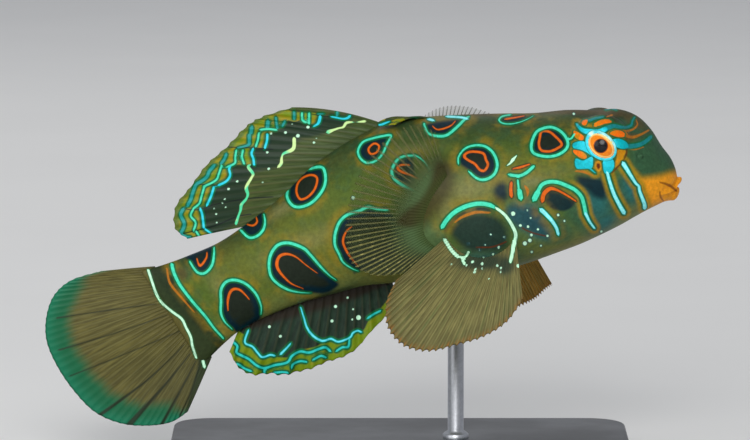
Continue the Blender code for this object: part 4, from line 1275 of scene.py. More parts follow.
def tinted(value, share):
    """A colour made darker or lighter."""
    return tuple(min(c * share, 1.0) for c in value)


def noise(tree, scale, detail=2.0, roughness=0.5):
    place = node(tree, "ShaderNodeTexCoord", {}).outputs["Object"]
    sockets = {"Vector": place, "Scale": scale, "Detail": detail, "Roughness": roughness}
    return node(tree, "ShaderNodeTexNoise", sockets).outputs["Fac"]


def new_material(name, specular=0.5, **sockets):
    """A material with its shader's own numbers set, its node tree and its shader."""
    material = bpy.data.materials.new(name)
    material.use_nodes = True
    tree = material.node_tree
    shader = tree.nodes["Principled BSDF"]
    shader.inputs["Specular IOR Level"].default_value = specular
    for key, value in sockets.items():
        shader.inputs[key.replace("_", " ").title()].default_value = value
    return material, tree, shader


def bump(tree, shader, height, strength, distance):
    made = node(tree, "ShaderNodeBump", {"Height": height, "Strength": strength,
                                         "Distance": distance})
    tree.links.new(made.outputs[0], shader.inputs["Normal"])


def skin_base(tree, paints, fins):
    """The ground colours of the body under its marks, with painted shade along the top and painted
    light along the belly.
    """
    base = mix(tree, span(tree, field(tree, "down"), -0.02, 0.22), paints.back, paints.olive)
    base = coats(tree, base,
                 ("down", 0.6, 0.95, 0.75, paints.belly),
                 (noise(tree, 260.0, 3.0), 0.35, 0.75, 0.12, paints.ochre),
                 (noise(tree, 900.0, 3.0), 0.42, 0.72, 0.3, paints.teal))
    for name, share, tint in (("ochre", 0.18, paints.ochre), ("sand", 0.5, paints.sand)):
        base = mix(tree, times(tree, field(tree, name), share), base, tint)
    base = coats(tree, base,
                 # Painted shade on the crown and a painted shadow along the belly, in the stem
                 # colour.
                 ("brown", 0.25, 0.85, 0.8, paints.stem),
                 ("teal", 0.2, 0.75, 0.9, paints.teal),
                 ("earth", 0.2, 0.8, 0.6, paints.earth))
    base = mix(tree, times(tree, field(tree, "sea"), 0.66), base, paints.sea)
    return coats(tree, base,
                 ("navy", 0.25, 0.8, 0.94, paints.navy),
                 ("flap", 0.5, -0.5, 0.9, paints.flap),
                 ("disc", 0.35, -0.75, 0.95, paints.disc),
                 ("dark", 0.16, -0.16, 0.92, paints.navy),
                 ("soft_dark", 0.45, -0.45, 0.95, paints.navy),
                 ("fin_green", 0.9, -0.5, 0.85, fins.green_root),
                 # The painted shade of the pectoral fin's root, on the skin behind it.
                 ("fin_brown", 1.4, -0.5, 0.85, fins.root_shade_tint),
                 ("tail", 0.15, -0.1, 1.0, fins.tan),
                 ("stem", 0.1, -0.3, 0.92, paints.stem),
                 ("mouth", 0.55, 0.0, 0.6, paints.ochre),
                 ("mouth", 0.26, -0.5, 1.0, paints.lips))


def halos(tree, base, lines, paints):
    """Ochre beside the lines of the head, and in broken clouds round those of the body."""
    head = field(tree, "head")
    near = times(tree, span(tree, lines, 0.7, 0.3), span(tree, lines, 0.1, 0.26))
    near = times(tree, near, span(tree, head, 0.0, 1.0, 0.0, 0.85))
    base = mix(tree, near, base, paints.ochre)
    wide = times(tree, span(tree, lines, 1.2, 0.3, 0.0, 0.4),
                 span(tree, noise(tree, 520.0, 3.0), 0.38, 0.62))
    return mix(tree, times(tree, wide, span(tree, head, 1.0, 0.0)), base, paints.ochre)


def skin_material(paints, fins):
    material, tree, shader = new_material("fish_skin", 0.1, roughness=0.5, coat_weight=0.03,
                                          coat_roughness=0.18)
    turquoise, cyan, light, teal, orange, pale = (
        mark(tree, name)
        for name in ("turquoise", "cyan", "light", "teal_lines", "orange", "pale"))
    lines = lowest(tree, turquoise, cyan, light)
    edges = lowest(tree, lines, teal, field(tree, "blobs"), field(tree, "leaves"))
    warm = mix(tree, span(tree, noise(tree, 700.0), 0.4, 0.65), paints.leaf, paints.cheek)
    bright = mix(tree, span(tree, field(tree, "lid"), 0.8, 0.3), paints.blob, paints.cyan)
    rim = mix(tree, field(tree, "cream"), paints.rim, paints.cream)
    base = halos(tree, skin_base(tree, paints, fins), lines, paints)
    base = coats(tree, base,
                 ("fill", 0.14, -0.3, 1.0, paints.navy),
                 ("fill", -0.5, -1.0, 1.0, paints.centre),
                 ("cheek", 0.08, -0.1, 1.0, paints.cheek),
                 ("oval", 0.1, -0.1, 1.0, paints.maroon),
                 (orange, 0.18, 0.02, 0.75, paints.centre),
                 (mark(tree, "rust"), 0.06, -0.05, 0.9, paints.rust),
                 (orange, 0.06, -0.02, 0.8, paints.maroon),
                 (orange, 0.02, -0.06, 1.0, paints.orange),
                 (edges, 0.21, 0.04, 0.94, paints.edge),
                 ("leaves", 0.05, -0.05, 1.0, warm),
                 (teal, 0.04, -0.06, 1.0, paints.dull_teal),
                 (turquoise, -0.005, -0.07, 1.0, paints.turquoise),
                 ("blobs", 0.05, -0.05, 1.0, bright),
                 (cyan, 0.04, -0.1, 1.0, bright),
                 (light, 0.01, -0.06, 1.0, paints.cyan),
                 (light, 0.0, -0.12, 1.0, paints.light),
                 (pale, 0.14, 0.02, 0.8, paints.edge),
                 (pale, 0.03, -0.04, 1.0, paints.pale),
                 ("dots", 0.14, 0.02, 0.7, paints.flap),
                 ("dots", 0.04, -0.04, 1.0, paints.pale),
                 # Painted shade in crease lines of the skin, in the mouth's gap and along the
                 # lower lip.
                 (mark(tree, "creases"), 0.08, -0.03, 0.8, paints.maroon),
                 (mark(tree, "folds"), 0.12, -0.05, 0.75, paints.maroon),
                 ("lid", 0.36, 0.26, 0.6, paints.edge),
                 ("lid", 0.28, 0.2, 1.0, rim),
                 ("lid", 0.03, -0.03, 1.0, paints.inner_lid))
    fine = noise(tree, 2600.0, 3.0, 0.65)
    shade = span(tree, fine, 0.3, 0.7, 0.84, 1.12)
    grey = node(tree, "ShaderNodeCombineColor", {0: shade, 1: shade, 2: shade}).outputs[0]
    base = mix(tree, 1.0, base, grey, "MULTIPLY")
    tree.links.new(base, shader.inputs["Base Color"])
    bump(tree, shader, fine, 0.25, 0.00006)
    return material


class MANDARINFISH_OT_skin(bpy.types.Operator):
    """Make the skin of head, trunk and tail stem"""

    bl_idname = "mandarinfish.skin"
    bl_label = "Skin"

    def execute(self, context):
        settings = context.scene.mandarinfish_skin
        material = skin_material(settings, context.scene.mandarinfish_fins)
        points, angles = skin_points(settings)
        fields = skin_fields(points, angles)
        closed = np.concatenate((points, points[:, :1]), axis=1)
        fields = {n: np.concatenate((f, f[:, :1]), axis=1) for n, f in fields.items()}
        edit = bmesh.new()
        place_grid(edit, closed, fields)
        finished("skin", edit, material, ("head", "trunk", "tail_stem"))
        return {"FINISHED"}


def eye_material(settings):
    material, tree, shader = new_material("eye_glass", 0.2, roughness=0.25, coat_weight=0.2,
                                          coat_roughness=0.03)
    pupil = settings.pupil / MM
    base = coats(tree, settings.iris,
                 (noise(tree, 3500.0), 0.35, 0.7, 0.3, settings.grain),
                 ("lid", -0.3, -0.08, 0.85, settings.rim),
                 ("gaze", pupil + 0.12, pupil + 0.02, 0.9, settings.ring),
                 ("gaze", pupil + 0.03, pupil - 0.05, 1.0, settings.black))
    tree.links.new(base, shader.inputs["Base Color"])
    return material


class MANDARINFISH_OT_eyes(bpy.types.Operator):
    """Make both eyeballs"""

    bl_idname = "mandarinfish.eyes"
    bl_label = "Eyes"

    def execute(self, context):
        settings = context.scene.mandarinfish_eyes
        material = eye_material(settings)
        for name, side in (("eye_right", -1), ("eye_left", 1)):
            centre = on_side(EYE, side)
            edit = bmesh.new()
            layers = edit.verts.layers.float
            layers.new("gaze")
            layers.new("lid")
            bmesh.ops.create_uvsphere(edit, u_segments=96, v_segments=64, radius=settings.radius)
            for vert in edit.verts:
                cosine = max(-1.0, min(1.0, vert.co.z / settings.radius))
                vert[layers["gaze"]] = math.acos(cosine) * settings.radius / MM
            turn = Vector(gaze(side)).to_track_quat("Z", "Y").to_matrix().to_4x4()
            place = Matrix.Translation((Vector(centre) - Vector((DATUM_X, 0.0, 0.0))) * MM)
            bmesh.ops.transform(edit, matrix=place @ turn, verts=edit.verts)
            points = np.array([vert.co for vert in edit.verts]) / MM + (DATUM_X, 0.0, 0.0)
            edges, _ = opening_edge(points, side)
            for vert, edge in zip(edit.verts, edges.tolist()):
                vert[layers["lid"]] = edge
            finished(f"{name}_ball", edit, material, (name,))
        return {"FINISHED"}


def middle_surface(name, rays, settings):
    """The middle surface of a fin through rays of root, bow and tip, with its fields."""
    ridges, more_rows, notch, pleat, frill = FIN_FORMS[name]
    rows = settings.rows + more_rows
    columns = (ridges - 1) * RAY_STEPS
    index = np.arange(columns + 1)
    place = index * (len(rays) - 1) / columns
    root, bow, tip = (blend(np.array([ray[k] for ray in rays]), place)[:, None]
                      for k in range(3))
    turn = index * 2 * math.pi / RAY_STEPS
    crest = (0.5 + 0.5 * np.cos(turn)) ** 2
    reach = (1 - notch * (1 - crest))[:, None, None]
    t = np.linspace(0.0, 1.0, rows + 1)[None, :, None] * reach
    points = root * (1 - t) ** 2 + bow * 2 * t * (1 - t) + tip * t ** 2
    normal = np.cross(np.gradient(points, axis=0), np.gradient(points, axis=1))
    normal /= np.maximum(np.linalg.norm(normal, axis=-1, keepdims=True), 1e-9)
    wave = pleat * np.cos(turn)[:, None] * t[..., 0]
    wave = wave + frill * np.sin(turn / FRILL_PERIOD)[:, None] * t[..., 0] ** 3
    points = points + normal * wave[..., None]
    length = np.linalg.norm(np.diff(points, axis=1), axis=-1).sum(axis=1)[:, None]
    fields = {"crest": np.repeat(crest[:, None], rows + 1, 1), "along": t[..., 0],
              "edge": (1 - t[..., 0] / reach[..., 0]) * length,
              "across": np.repeat(index[:, None] / RAY_STEPS, rows + 1, 1)}
    return points, normal, fields


def fan_piece(name, surface, settings, material, nodes):
    """A closed fin on both faces of its middle surface, thick along its rays."""
    points, normal, fields = surface
    t = fields["along"]
    half = settings.membrane / MM / 2 * (1 - MEMBRANE_TAPER * t)
    half = half + settings.ridge / MM * fields["crest"] * (1 - RIDGE_TAPER * t)
    half[0] = half[-1] = half[:, 0] = half[:, -1] = 0.0
    edit = bmesh.new()
    for side in (1, -1):
        place_grid(edit, points + side * half[..., None] * normal, fields)
    finished(name, edit, material, nodes)


def grown(root, tip, bow):
    """Root, bow and tip of a ray that bends by bow at its middle."""
    root, tip = np.array(root, float), np.array(tip, float)
    return root, (root + tip) / 2 + np.array(bow), tip


def edge_roots(places, from_belly):
    """Points just inside the back or the belly, where a single fin grows."""
    rows = blend(STATIONS, np.array(places, float))
    back = np.stack((rows[:, 0], rows[:, 0] * 0, rows[:, 1]), -1)
    belly = np.stack((rows[:, 2], rows[:, 2] * 0, rows[:, 3]), -1)
    root, other = (belly, back) if from_belly else (back, belly)
    out = (root - other) / np.linalg.norm(root - other, axis=1, keepdims=True)
    root = root + out * (FIN_LIFT - FIN_SINK)
    root[:, 1] = sway(root[:, 0])
    return root


def single_rays(table, from_belly, arch):
    """The rays of a fin on the back or the belly, arched at its snout end."""
    roots = edge_roots([row[0] for row in table], from_belly)
    rays = []
    for i, (root, (_, x, z)) in enumerate(zip(roots, table)):
        bow = (0.0, RAY_BOW * math.sin(i), arch * ARCH_FADE ** i)
        rays.append(grown(root, (x, float(sway(x)), z), bow))
    return rays


def caudal_rays():
    """The rays of the tail fin, from the back's end of the stem to the belly's."""
    x1, z1, x2, z2, _ = STATIONS[-1]
    back, belly = np.array((x1, 0.0, z1)), np.array((x2, 0.0, z2))
    down = belly - back
    rearward = np.array((down[2], 0.0, -down[0])) / np.linalg.norm(down)
    rays = []
    for i, (x, z) in enumerate(CAUDAL_TIPS):
        root = back + down * i / (len(CAUDAL_TIPS) - 1) + rearward * (FIN_LIFT - FIN_SINK)
        root[1] = float(sway(root[0]))
        rays.append(grown(root, (x, float(sway(x)), z), (0.0, RAY_BOW * math.sin(i), 0.0)))
    return rays


def skin_tree():
    """A search tree of the finished skin, in millimetres."""
    mesh = bpy.data.objects["skin"].data
    places = np.empty(len(mesh.vertices) * 3)
    mesh.vertices.foreach_get("co", places)
    places = places.reshape(-1, 3) / MM + (DATUM_X, 0.0, 0.0)
    return BVHTree.FromPolygons(places.tolist(), [tuple(p.vertices) for p in mesh.polygons])


def hit(tree, origin, way):
    """Where a line meets the skin, and the skin's normal there."""
    place, normal, _, _ = tree.ray_cast(Vector(origin), Vector(way))
    if place is None:
        raise RuntimeError("a fin's root misses the skin")
    return np.array(place), np.array(normal)


def pectoral_rays(tree, side, tips):
    """The rays of a pectoral fin, rooted on the skin behind the head."""
    rays = []
    for (x, z), tip in zip(PECTORAL_ROOTS, tips):
        root, normal = hit(tree, (x, 40.0 * side, z), (0.0, -side, 0.0))
        root = root + normal * (PAIRED_LIFT - FIN_SINK)
        rays.append(grown(root, tip, (0.0, RAY_BOW * side, 0.0)))
    return rays


def pelvic_rays(side, tips):
    """The rays of a pelvic fin, rooted along an arc of its lobe."""
    first, last = (math.radians(bearing) for bearing in PELVIC_BEARINGS[side])
    bulge = math.sqrt(1 - PELVIC_REACH ** 2)
    rays = []
    for i, tip in enumerate(tips):
        bearing = first + (last - first) * i / (len(tips) - 1)
        share = np.array((PELVIC_REACH * math.cos(bearing), bulge * side,
                          -PELVIC_REACH * math.sin(bearing)))
        normal = share / LOBE_SIZE
        root = on_side(LOBE, side) + share * LOBE_SIZE
        root = root + normal / np.linalg.norm(normal) * (PAIRED_LIFT - FIN_SINK)
        rays.append(grown(root, tip, (0.0, RAY_BOW * side, 0.0)))
    return rays


def over_back(tree, x, y, lift):
    """A point lifted over the back."""
    return hit(tree, (x, y, 80.0), (0.0, 0.0, -1.0))[0] + (0.0, 0.0, lift)


def spine_rays(tree):
    """The spines of the first back fin, folded down over the back."""
    rays = []
    for root_x, tip_x, tip_y in SPINES:
        root = over_back(tree, root_x, 0.0, FIN_LIFT - FIN_SINK)
        middle = over_back(tree, (root_x + tip_x) / 2, tip_y / 2, SPINE_LIFTS[0])
        rays.append((root, middle, over_back(tree, tip_x, tip_y, SPINE_LIFTS[1])))
    return rays


def add_marks(surface, zones=(), **marks):
    """Add the distances to marks, and to outlines, to the fields of a middle surface."""
    points, _, fields = surface
    tree = surface_tree(points, False)
    for name, lines in marks.items():
        fields.update(mark_fields(name, points, tree, lines, False))
    places = in_frame(points)
    for name, outline in zones:
        fields[name] = (region(places, outline) if outline
                        else np.full(points.shape[:2], FIELD_LIMIT))


def streaks(tree, across, along):
    """Noise drawn out along the rays of a fin."""
    place = node(tree, "ShaderNodeCombineXYZ", {
        0: times(tree, field(tree, "across"), across),
        1: times(tree, field(tree, "along"), along)}).outputs[0]
    sockets = {"Vector": place, "Scale": 1.0, "Detail": 2.0, "Roughness": 0.6}
    return node(tree, "ShaderNodeTexNoise", sockets).outputs["Fac"]


def fin_base(tree, membrane, ray, share):
    """Colour of a fin's skin with fine streaks, lighter on its rays."""
    base = coats(tree, tinted(membrane, 0.62),
                 (streaks(tree, 2.6, 5.0), 0.3, 0.7, 1.0, tinted(membrane, 1.22)),
                 (streaks(tree, 0.35, 3.0), 0.35, 0.7, 0.4, tinted(membrane, 0.55)))
    rays = times(tree, span(tree, field(tree, "crest"), 0.5, 0.95, 0.0, share),
                 span(tree, field(tree, "along"), 0.05, 0.3, 0.25, 1.0))
    return mix(tree, rays, base, ray)


def fin_look(name):
    return new_material(name, 0.14, roughness=0.5, coat_weight=0.05, coat_roughness=0.2)


def mustard_band(tree, settings, begin, full):
    """The colour of the bands along the margins, with streaks of gold."""
    grain = span(tree, streaks(tree, 1.2, 9.0), begin, full)
    return mix(tree, grain, settings.mustard, settings.gold)


def dorsal_material(settings, paints):
    material, tree, shader = fin_look("dorsal_fin")
    mustard = mustard_band(tree, settings, 0.35, 0.7)
    pale = mix(tree, span(tree, noise(tree, 480.0), 0.45, 0.55), settings.lime, settings.mint)
    cyan = mark(tree, "cyan")
    lines = lowest(tree, mark(tree, "teal"), mark(tree, "turquoise"), cyan)
    base = fin_base(tree, settings.olive, tinted(settings.ray, 0.42), 0.5)
    base = coats(tree, base,
                 ("along", 0.6, 0.1, 0.4, settings.shaded),
                 ("dark", 0.3, -0.3, 0.85, settings.dark),
                 ("band", 0.05, -0.1, 0.95, mustard),
                 ("edge", 0.75, 0.3, 0.8, settings.margin),
                 (cyan, 0.4, 0.1, 0.7, paints.navy),
                 (lines, 0.24, 0.08, 1.0, paints.edge),
                 (mark(tree, "seams"), 0.05, -0.05, 1.0, settings.seam))
    base = drawn(tree, base, mustard=mustard, teal=settings.teal, turquoise=paints.turquoise,
                 cyan=paints.cyan, pale=pale, dots=paints.pale)
    tree.links.new(base, shader.inputs["Base Color"])
    return material


def anal_material(settings, paints):
    material, tree, shader = fin_look("anal_fin")
    cyan = mark(tree, "cyan")
    lines = lowest(tree, cyan, mark(tree, "teal"))
    base = fin_base(tree, settings.anal, tinted(settings.ray, 0.16), 0.3)
    base = coats(tree, base,
                 # Painted shadow along the fin's root, by the belly.
                 ("along", 0.3, 0.18, 0.9, settings.anal_root_shadow),
                 ("margin", 0.08, -0.08, 0.96, mustard_band(tree, settings, 0.5, 0.85)),
                 (lines, 0.28, 0.1, 1.0, paints.edge))
    base = drawn(tree, base, teal=settings.anal_teal, cyan=paints.cyan)
    base = coats(tree, base, (cyan, -0.02, -0.12, 0.7, paints.light))
    base = drawn(tree, base, dots=paints.pale)
    tree.links.new(base, shader.inputs["Base Color"])
    return material


def caudal_material(settings, paints):
    material, tree, shader = fin_look("tail_fin")
    across = field(tree, "across")
    ends = maths(tree, "ADD", span(tree, across, 7.0, 0.0, 0.0, 3.0),
                 span(tree, across, 33.0, 40.0, 0.0, 2.5))
    margin = maths(tree, "ADD", field(tree, "edge"), streaks(tree, 0.8, 2.0))
    margin = maths(tree, "ADD", margin, ends)
    base = fin_base(tree, settings.tan, tinted(settings.ray, 0.6), 0.35)
    base = coats(tree, base,
                 (across, 18.0, 38.0, 0.35, settings.low_tan),
                 (margin, 4.0, 2.2, 0.97, settings.emerald),
                 ("edge", 1.6, 0.0, 0.25, settings.rim),
                 ("stem", 0.1, -0.3, 0.9, paints.stem),
                 (mark(tree, "slits"), 0.14, -0.08, 0.9, settings.slit),
                 (mark(tree, "pale"), 0.15, 0.03, 0.8, paints.edge))
    base = drawn(tree, base, pale=paints.pale)
    tree.links.new(base, shader.inputs["Base Color"])
    return material


def pectoral_material(name, settings, ray, clear_from):
    """The look of a pectoral fin, clear between the crests of its rays from a height up."""
    material, tree, shader = fin_look(name)
    crest, along, across = (field(tree, each) for each in ("crest", "along", "across"))
    low = span(tree, across, 19.0, 27.0)
    gold = coats(tree, settings.buff, (streaks(tree, 2.0, 14.0), 0.55, 0.7, 1.0, settings.cream))
    low_rays = coats(tree, settings.gap, (crest, 0.2, 0.8, 1.0, gold))
    base = mix(tree, low, fin_base(tree, settings.olive, ray, 0.8), low_rays)
    base = coats(tree, base,
                 (along, 0.55, 0.16, 1.0, settings.green_root),
                 # Painted shade on the fin's root, where the fin curves away from the light.
                 ("brown", 0.5, -0.4, 0.85, settings.root_shade_tint),
                 (along, 0.2, 0.02, 0.6, settings.olive))
    tree.links.new(base, shader.inputs["Base Color"])
    solid = times(tree, span(tree, crest, clear_from, 0.85),
                  span(tree, across, 14.0, 26.0, 0.5, 0.85))
    solid = maths(tree, "MAXIMUM", solid, span(tree, low, 0.0, 1.0, 0.12, 0.62))
    solid = times(tree, solid, span(tree, field(tree, "edge"), 0.0, 1.0, 0.6, 1.0))
    root = span(tree, along, 0.14, 0.6, 1.0, 0.0)
    tree.links.new(maths(tree, "MAXIMUM", solid, root), shader.inputs["Alpha"])
    return material


def pelvic_material(name, settings, paints, membrane):
    material, tree, shader = fin_look(name)
    edge = field(tree, "edge")
    tips = times(tree, span(tree, edge, 0.9, 0.1),
                 span(tree, streaks(tree, 3.0, 1.0), 0.45, 0.6, 0.0, 0.7))
    base = fin_base(tree, membrane, tinted(settings.ray, 0.95), 0.4)
    base = coats(tree, base,
                 (edge, 2.4, 0.3, 0.5, tinted(membrane, 0.6)),
                 (streaks(tree, 1.4, 1.0), 0.5, 0.7, 0.5, settings.moss))
    base = mix(tree, tips, base, settings.amber)
    base = coats(tree, base,
                 ("shade", 0.2, 0.9, 0.85, settings.shade),
                 (mark(tree, "pale"), 0.16, 0.03, 0.6, paints.edge))
    base = drawn(tree, base, pale=paints.pale, dots=paints.pale)
    tree.links.new(base, shader.inputs["Base Color"])
    return material


class MANDARINFISH_OT_single_fins(bpy.types.Operator):
    """Make the fins of the back, the belly and the tail"""

    bl_idname = "mandarinfish.single_fins"
    bl_label = "Single fins"

    def execute(self, context):
        settings = context.scene.mandarinfish_fins
        paints = context.scene.mandarinfish_skin
        back = dorsal_material(settings, paints)
        name = "second_dorsal_fin"
        fan = middle_surface(name, single_rays(DORSAL_RAYS, False, DORSAL_ARCH), settings)
        add_marks(fan, (("band", DORSAL_BAND), ("dark", DORSAL_DARK)), teal=DORSAL_TEAL,
                  turquoise=DORSAL_TURQUOISE, cyan=DORSAL_CYAN, pale=DORSAL_PALE,
                  dots=DORSAL_DOTS, seams=DORSAL_SEAMS, mustard=DORSAL_MUSTARD)
        fan_piece(name, fan, settings, back, ("fin_dorsal_second",))
        name = "anal_fin"
        fan = middle_surface(name, single_rays(ANAL_RAYS, True, 0.0), settings)
        add_marks(fan, (("margin", ANAL_MARGIN),), cyan=ANAL_CYAN, teal=ANAL_TEAL,
                  dots=ANAL_DOTS)
        fan_piece(name, fan, settings, anal_material(settings, paints),
                  ("fin_anal",))
        name = "tail_fin"
        fan = middle_surface(name, caudal_rays(), settings)
        add_marks(fan, (("stem", TAIL_DARK),), pale=TAIL_PALE, slits=TAIL_SLITS)
        fan_piece(name, fan, settings, caudal_material(settings, paints),
                  ("fin_caudal",))
        name = "first_dorsal_fin"
        fan = middle_surface(name, spine_rays(skin_tree()), settings)
        add_marks(fan, (("band", ()), ("dark", ())), teal=(), turquoise=(), cyan=FIRST_CYAN,
                  pale=(), dots=FIRST_DOTS, seams=(), mustard=FIRST_MUSTARD)
        fan_piece(name, fan, settings, back, ("fin_dorsal_first",))
        return {"FINISHED"}


class MANDARINFISH_OT_paired_fins(bpy.types.Operator):
    """Make the pectoral and the pelvic fins"""

    bl_idname = "mandarinfish.paired_fins"
    bl_label = "Paired fins"

    def execute(self, context):
        settings = context.scene.mandarinfish_fins
        paints = context.scene.mandarinfish_skin
        tree = skin_tree()
        sides = (("right", -1), ("left", 1))
        # Tips, outline of the painted shade on the root, share of the ray's colour, and where it
        # is solid.
        looks = ((PECTORAL_TIPS_RIGHT, PECTORAL_ROOT_SHADE, 0.6, 0.3),
                 (PECTORAL_TIPS_LEFT, (), 0.22, 0.45))
        for (side_name, side), (tips, brown, ray_share, clear_from) in zip(sides, looks):
            name = f"pectoral_fin_{side_name}"
            fan = middle_surface(name, pectoral_rays(tree, side, tips), settings)
            # The brown field is the painted shade on the fin's root.
            add_marks(fan, (("brown", brown),))
            fan[2]["across"] = fan[2]["across"] * PECTORAL_GAPS / (FIN_FORMS[name][0] - 1)
            material = pectoral_material(name, settings, tinted(settings.ray, ray_share),
                                         clear_from)
            fan_piece(name, fan, settings, material, (f"fin_pectoral_{side_name}",))
        fans = [middle_surface(f"pelvic_fin_{side_name}", pelvic_rays(side, tips), settings)
                for (side_name, side), tips in zip(sides, (PELVIC_TIPS_RIGHT, PELVIC_TIPS_LEFT))]
        # The far fin takes the marks of the near one.
        add_marks(fans[0], pale=PALE, dots=DOTS)
        fans[0][2]["shade"] = blotches(in_frame(fans[0][0]), LOBE_SHADE)
        for key in sorted(fans[0][2].keys() - fans[1][2].keys()):
            fans[1][2][key] = fans[0][2][key]
        for (side_name, _), fan, membrane in zip(sides, fans, (settings.khaki, settings.brown)):
            name = f"pelvic_fin_{side_name}"
            material = pelvic_material(name, settings, paints, membrane)
            fan_piece(name, fan, settings, material, (f"fin_pelvic_{side_name}",))
        return {"FINISHED"}


class MANDARINFISH_OT_stand(bpy.types.Operator):
    """Make the display stand's base and rod"""

    bl_idname = "mandarinfish.stand"
    bl_label = "Stand"

    def execute(self, context):
        settings = context.scene.mandarinfish_stand
        make_base(settings)
        make_rod(settings)
        return {"FINISHED"}


def stand_material(name, value, metal, grain_scale, relief):
    """Satin paint or brushed metal, with a fine grain and a little wear."""
    material, tree, shader = new_material(name, metallic=metal, coat_weight=0.1 * (1 - metal))
    grain = noise(tree, grain_scale, 4.0, 0.7)
    broad = noise(tree, 90.0, 3.0)
    base = coats(tree, value,
                 (grain, 0.3, 0.7, 0.5, tinted(value, 1.5)),
                 (broad, 0.45, 0.75, 0.35, tinted(value, 0.6)))
    tree.links.new(base, shader.inputs["Base Color"])
    tree.links.new(span(tree, broad, 0.3, 0.7, 0.34, 0.5), shader.inputs["Roughness"])
    bump(tree, shader, grain, 0.2, relief)
    return material


def make_base(settings):
    """A flat plate with round corners and soft edges."""
    length, width, height = settings.size
    edit = bmesh.new()
    bmesh.ops.create_cube(edit, size=1.0)
    sized = Matrix.Diagonal((length, width, height, 1.0))
    place = Matrix.Translation((0.0, 0.0, height / 2)) @ sized
    bmesh.ops.transform(edit, matrix=place, verts=edit.verts)
    upright = [edge for edge in edit.edges if abs(edge.verts[0].co.z - edge.verts[1].co.z) > MM]
    bmesh.ops.bevel(edit, geom=upright, offset=settings.corner, segments=16, profile=0.5,
                    affect="EDGES", material=-1)
    top = [edge for edge in edit.edges if min(v.co.z for v in edge.verts) > height * 0.9]
    bmesh.ops.bevel(edit, geom=top, offset=settings.edge, segments=6, profile=0.5,
                    affect="EDGES", material=-1)
    material = stand_material("base_paint", settings.paint, 0.0, 1800.0, 0.00004)
    finished("display_base", edit, material, ("stand_base",))


def make_rod(settings):
    """A thin rod up into the belly, with a low collar where it leaves the base."""
    height, top = settings.size[2], BELLY_REACH * MM
    # The outline from foot to tip, as radius and height.
    rings = ((0.0, height - 0.5 * MM), (settings.collar, height - 0.5 * MM),
             (settings.collar, height + 0.35 * MM), (settings.collar * 0.9, height + 0.5 * MM),
             (settings.rod, height + 0.75 * MM), (settings.rod, top - 0.3 * MM),
             (settings.rod * 0.8, top), (0.0, top))
    edit = bmesh.new()
    centre = Vector(((ROD_X - DATUM_X) * MM, 0.0, 0.0))
    verts = [edit.verts.new(centre + Vector((radius, 0.0, z))) for radius, z in rings]
    edges = [edit.edges.new(pair) for pair in zip(verts, verts[1:])]
    bmesh.ops.spin(edit, geom=verts + edges, cent=centre, axis=(0.0, 0.0, 1.0),
                   angle=2 * math.pi, steps=64, use_merge=True)
    material = stand_material("rod_steel", settings.steel, 1.0, 2400.0, 0.00002)
    finished("display_rod", edit, material, ("stand_rod",))


class MANDARINFISH_OT_stage(bpy.types.Operator):
    """Set up the floor, the lights and the camera"""

    bl_idname = "mandarinfish.stage"
    bl_label = "Stage"

    def execute(self, context):
        settings = context.scene.mandarinfish_stage
        make_camera(context, settings)
        make_floor(context, settings)
        make_lights(context, settings)
        context.scene.view_settings.view_transform = "Standard"
        return {"FINISHED"}


def make_camera(context, settings):
    camera = bpy.data.cameras.new("camera")
    camera.lens = settings.lens
    camera.sensor_width = SENSOR
    camera.clip_start = 0.01
    camera.clip_end = 10.0
    holder = bpy.data.objects.new("camera", camera)
    context.scene.collection.objects.link(holder)
    place, forward, _, _ = camera_axes(settings)
    holder.location = (Vector(place) - Vector((DATUM_X, 0.0, 0.0))) * MM
    holder.rotation_euler = Vector(forward).to_track_quat("-Z", "Y").to_euler()
    context.scene.camera = holder


def make_floor(context, settings):
    """A wide pale floor under the stand."""
    edit = bmesh.new()
    bmesh.ops.create_circle(edit, cap_ends=True, segments=96, radius=settings.floor_radius)
    bmesh.ops.recalc_face_normals(edit, faces=edit.faces)
    mesh = bpy.data.meshes.new("floor")
    edit.to_mesh(mesh)
    edit.free()
    mesh.polygons.foreach_set("use_smooth", [True] * len(mesh.polygons))
    material, tree, shader = new_material("pale_floor", roughness=0.6)
    base = coats(tree, settings.floor,
                 (noise(tree, 30.0), 0.3, 0.7, 0.15, tinted(settings.floor, 0.9)))
    tree.links.new(base, shader.inputs["Base Color"])
    mesh.materials.append(material)
    floor = bpy.data.objects.new("floor", mesh)
    context.scene.collection.objects.link(floor)


# Name, place, size and share of the power, in metres.
LIGHTS = (
    ("key", (-0.05, -0.5, 0.27), 0.3, 1.1),
    ("fill", (-0.4, -0.35, 0.16), 0.35, 0.35),
    ("rim", (-0.1, 0.35, 0.35), 0.25, 0.22),
)


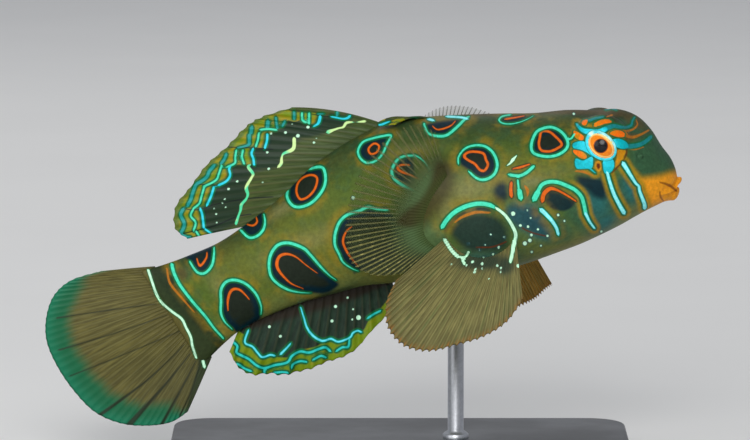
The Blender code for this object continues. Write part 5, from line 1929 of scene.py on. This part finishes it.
def make_lights(context, settings):
    """An even sky, and a key, a fill and a rim light that share the power of the setting."""
    world = bpy.data.worlds.new("studio")
    world.use_nodes = True
    sky = world.node_tree.nodes["Background"].inputs
    sky["Color"].default_value = (*settings.sky, 1.0)
    sky["Strength"].default_value = settings.sky_strength
    context.scene.world = world
    for name, place, size, share in LIGHTS:
        light = bpy.data.lights.new(name, "AREA")
        light.shape = "DISK"
        light.size = size
        light.energy = settings.key * share
        holder = bpy.data.objects.new(name, light)
        holder.location = place
        aim = Vector((0.0, 0.0, LOOK_AT[2] * MM)) - Vector(place)
        holder.rotation_euler = aim.to_track_quat("-Z", "Y").to_euler()
        context.scene.collection.objects.link(holder)


class MANDARINFISH_PT_panel(bpy.types.Panel):
    """List the operators of the model"""

    bl_label = "Mandarinfish"
    bl_idname = "MANDARINFISH_PT_panel"
    bl_space_type = "VIEW_3D"
    bl_region_type = "UI"
    bl_category = "Mandarinfish"

    def draw(self, context):
        for operator in OPERATORS:
            self.layout.operator(operator.bl_idname)


SETTINGS = (
    ("mandarinfish_skin", SkinSettings),
    ("mandarinfish_eyes", EyeSettings),
    ("mandarinfish_fins", FinSettings),
    ("mandarinfish_stand", StandSettings),
    ("mandarinfish_stage", StageSettings),
)
OPERATORS = (MANDARINFISH_OT_skin, MANDARINFISH_OT_eyes, MANDARINFISH_OT_single_fins,
             MANDARINFISH_OT_paired_fins, MANDARINFISH_OT_stand, MANDARINFISH_OT_stage)
CLASSES = (*(kind for _, kind in SETTINGS), *OPERATORS, MANDARINFISH_PT_panel)


def register():
    for kind in CLASSES:
        bpy.utils.register_class(kind)
    for name, kind in SETTINGS:
        setattr(bpy.types.Scene, name, PointerProperty(type=kind))


def unregister():
    for name, _ in SETTINGS:
        delattr(bpy.types.Scene, name)
    for kind in reversed(CLASSES):
        bpy.utils.unregister_class(kind)


def main():
    register()
    bpy.ops.mandarinfish.skin()
    bpy.ops.mandarinfish.eyes()
    bpy.ops.mandarinfish.single_fins()
    bpy.ops.mandarinfish.paired_fins()
    bpy.ops.mandarinfish.stand()
    bpy.ops.mandarinfish.stage()


if __name__ == "__main__":
    main()
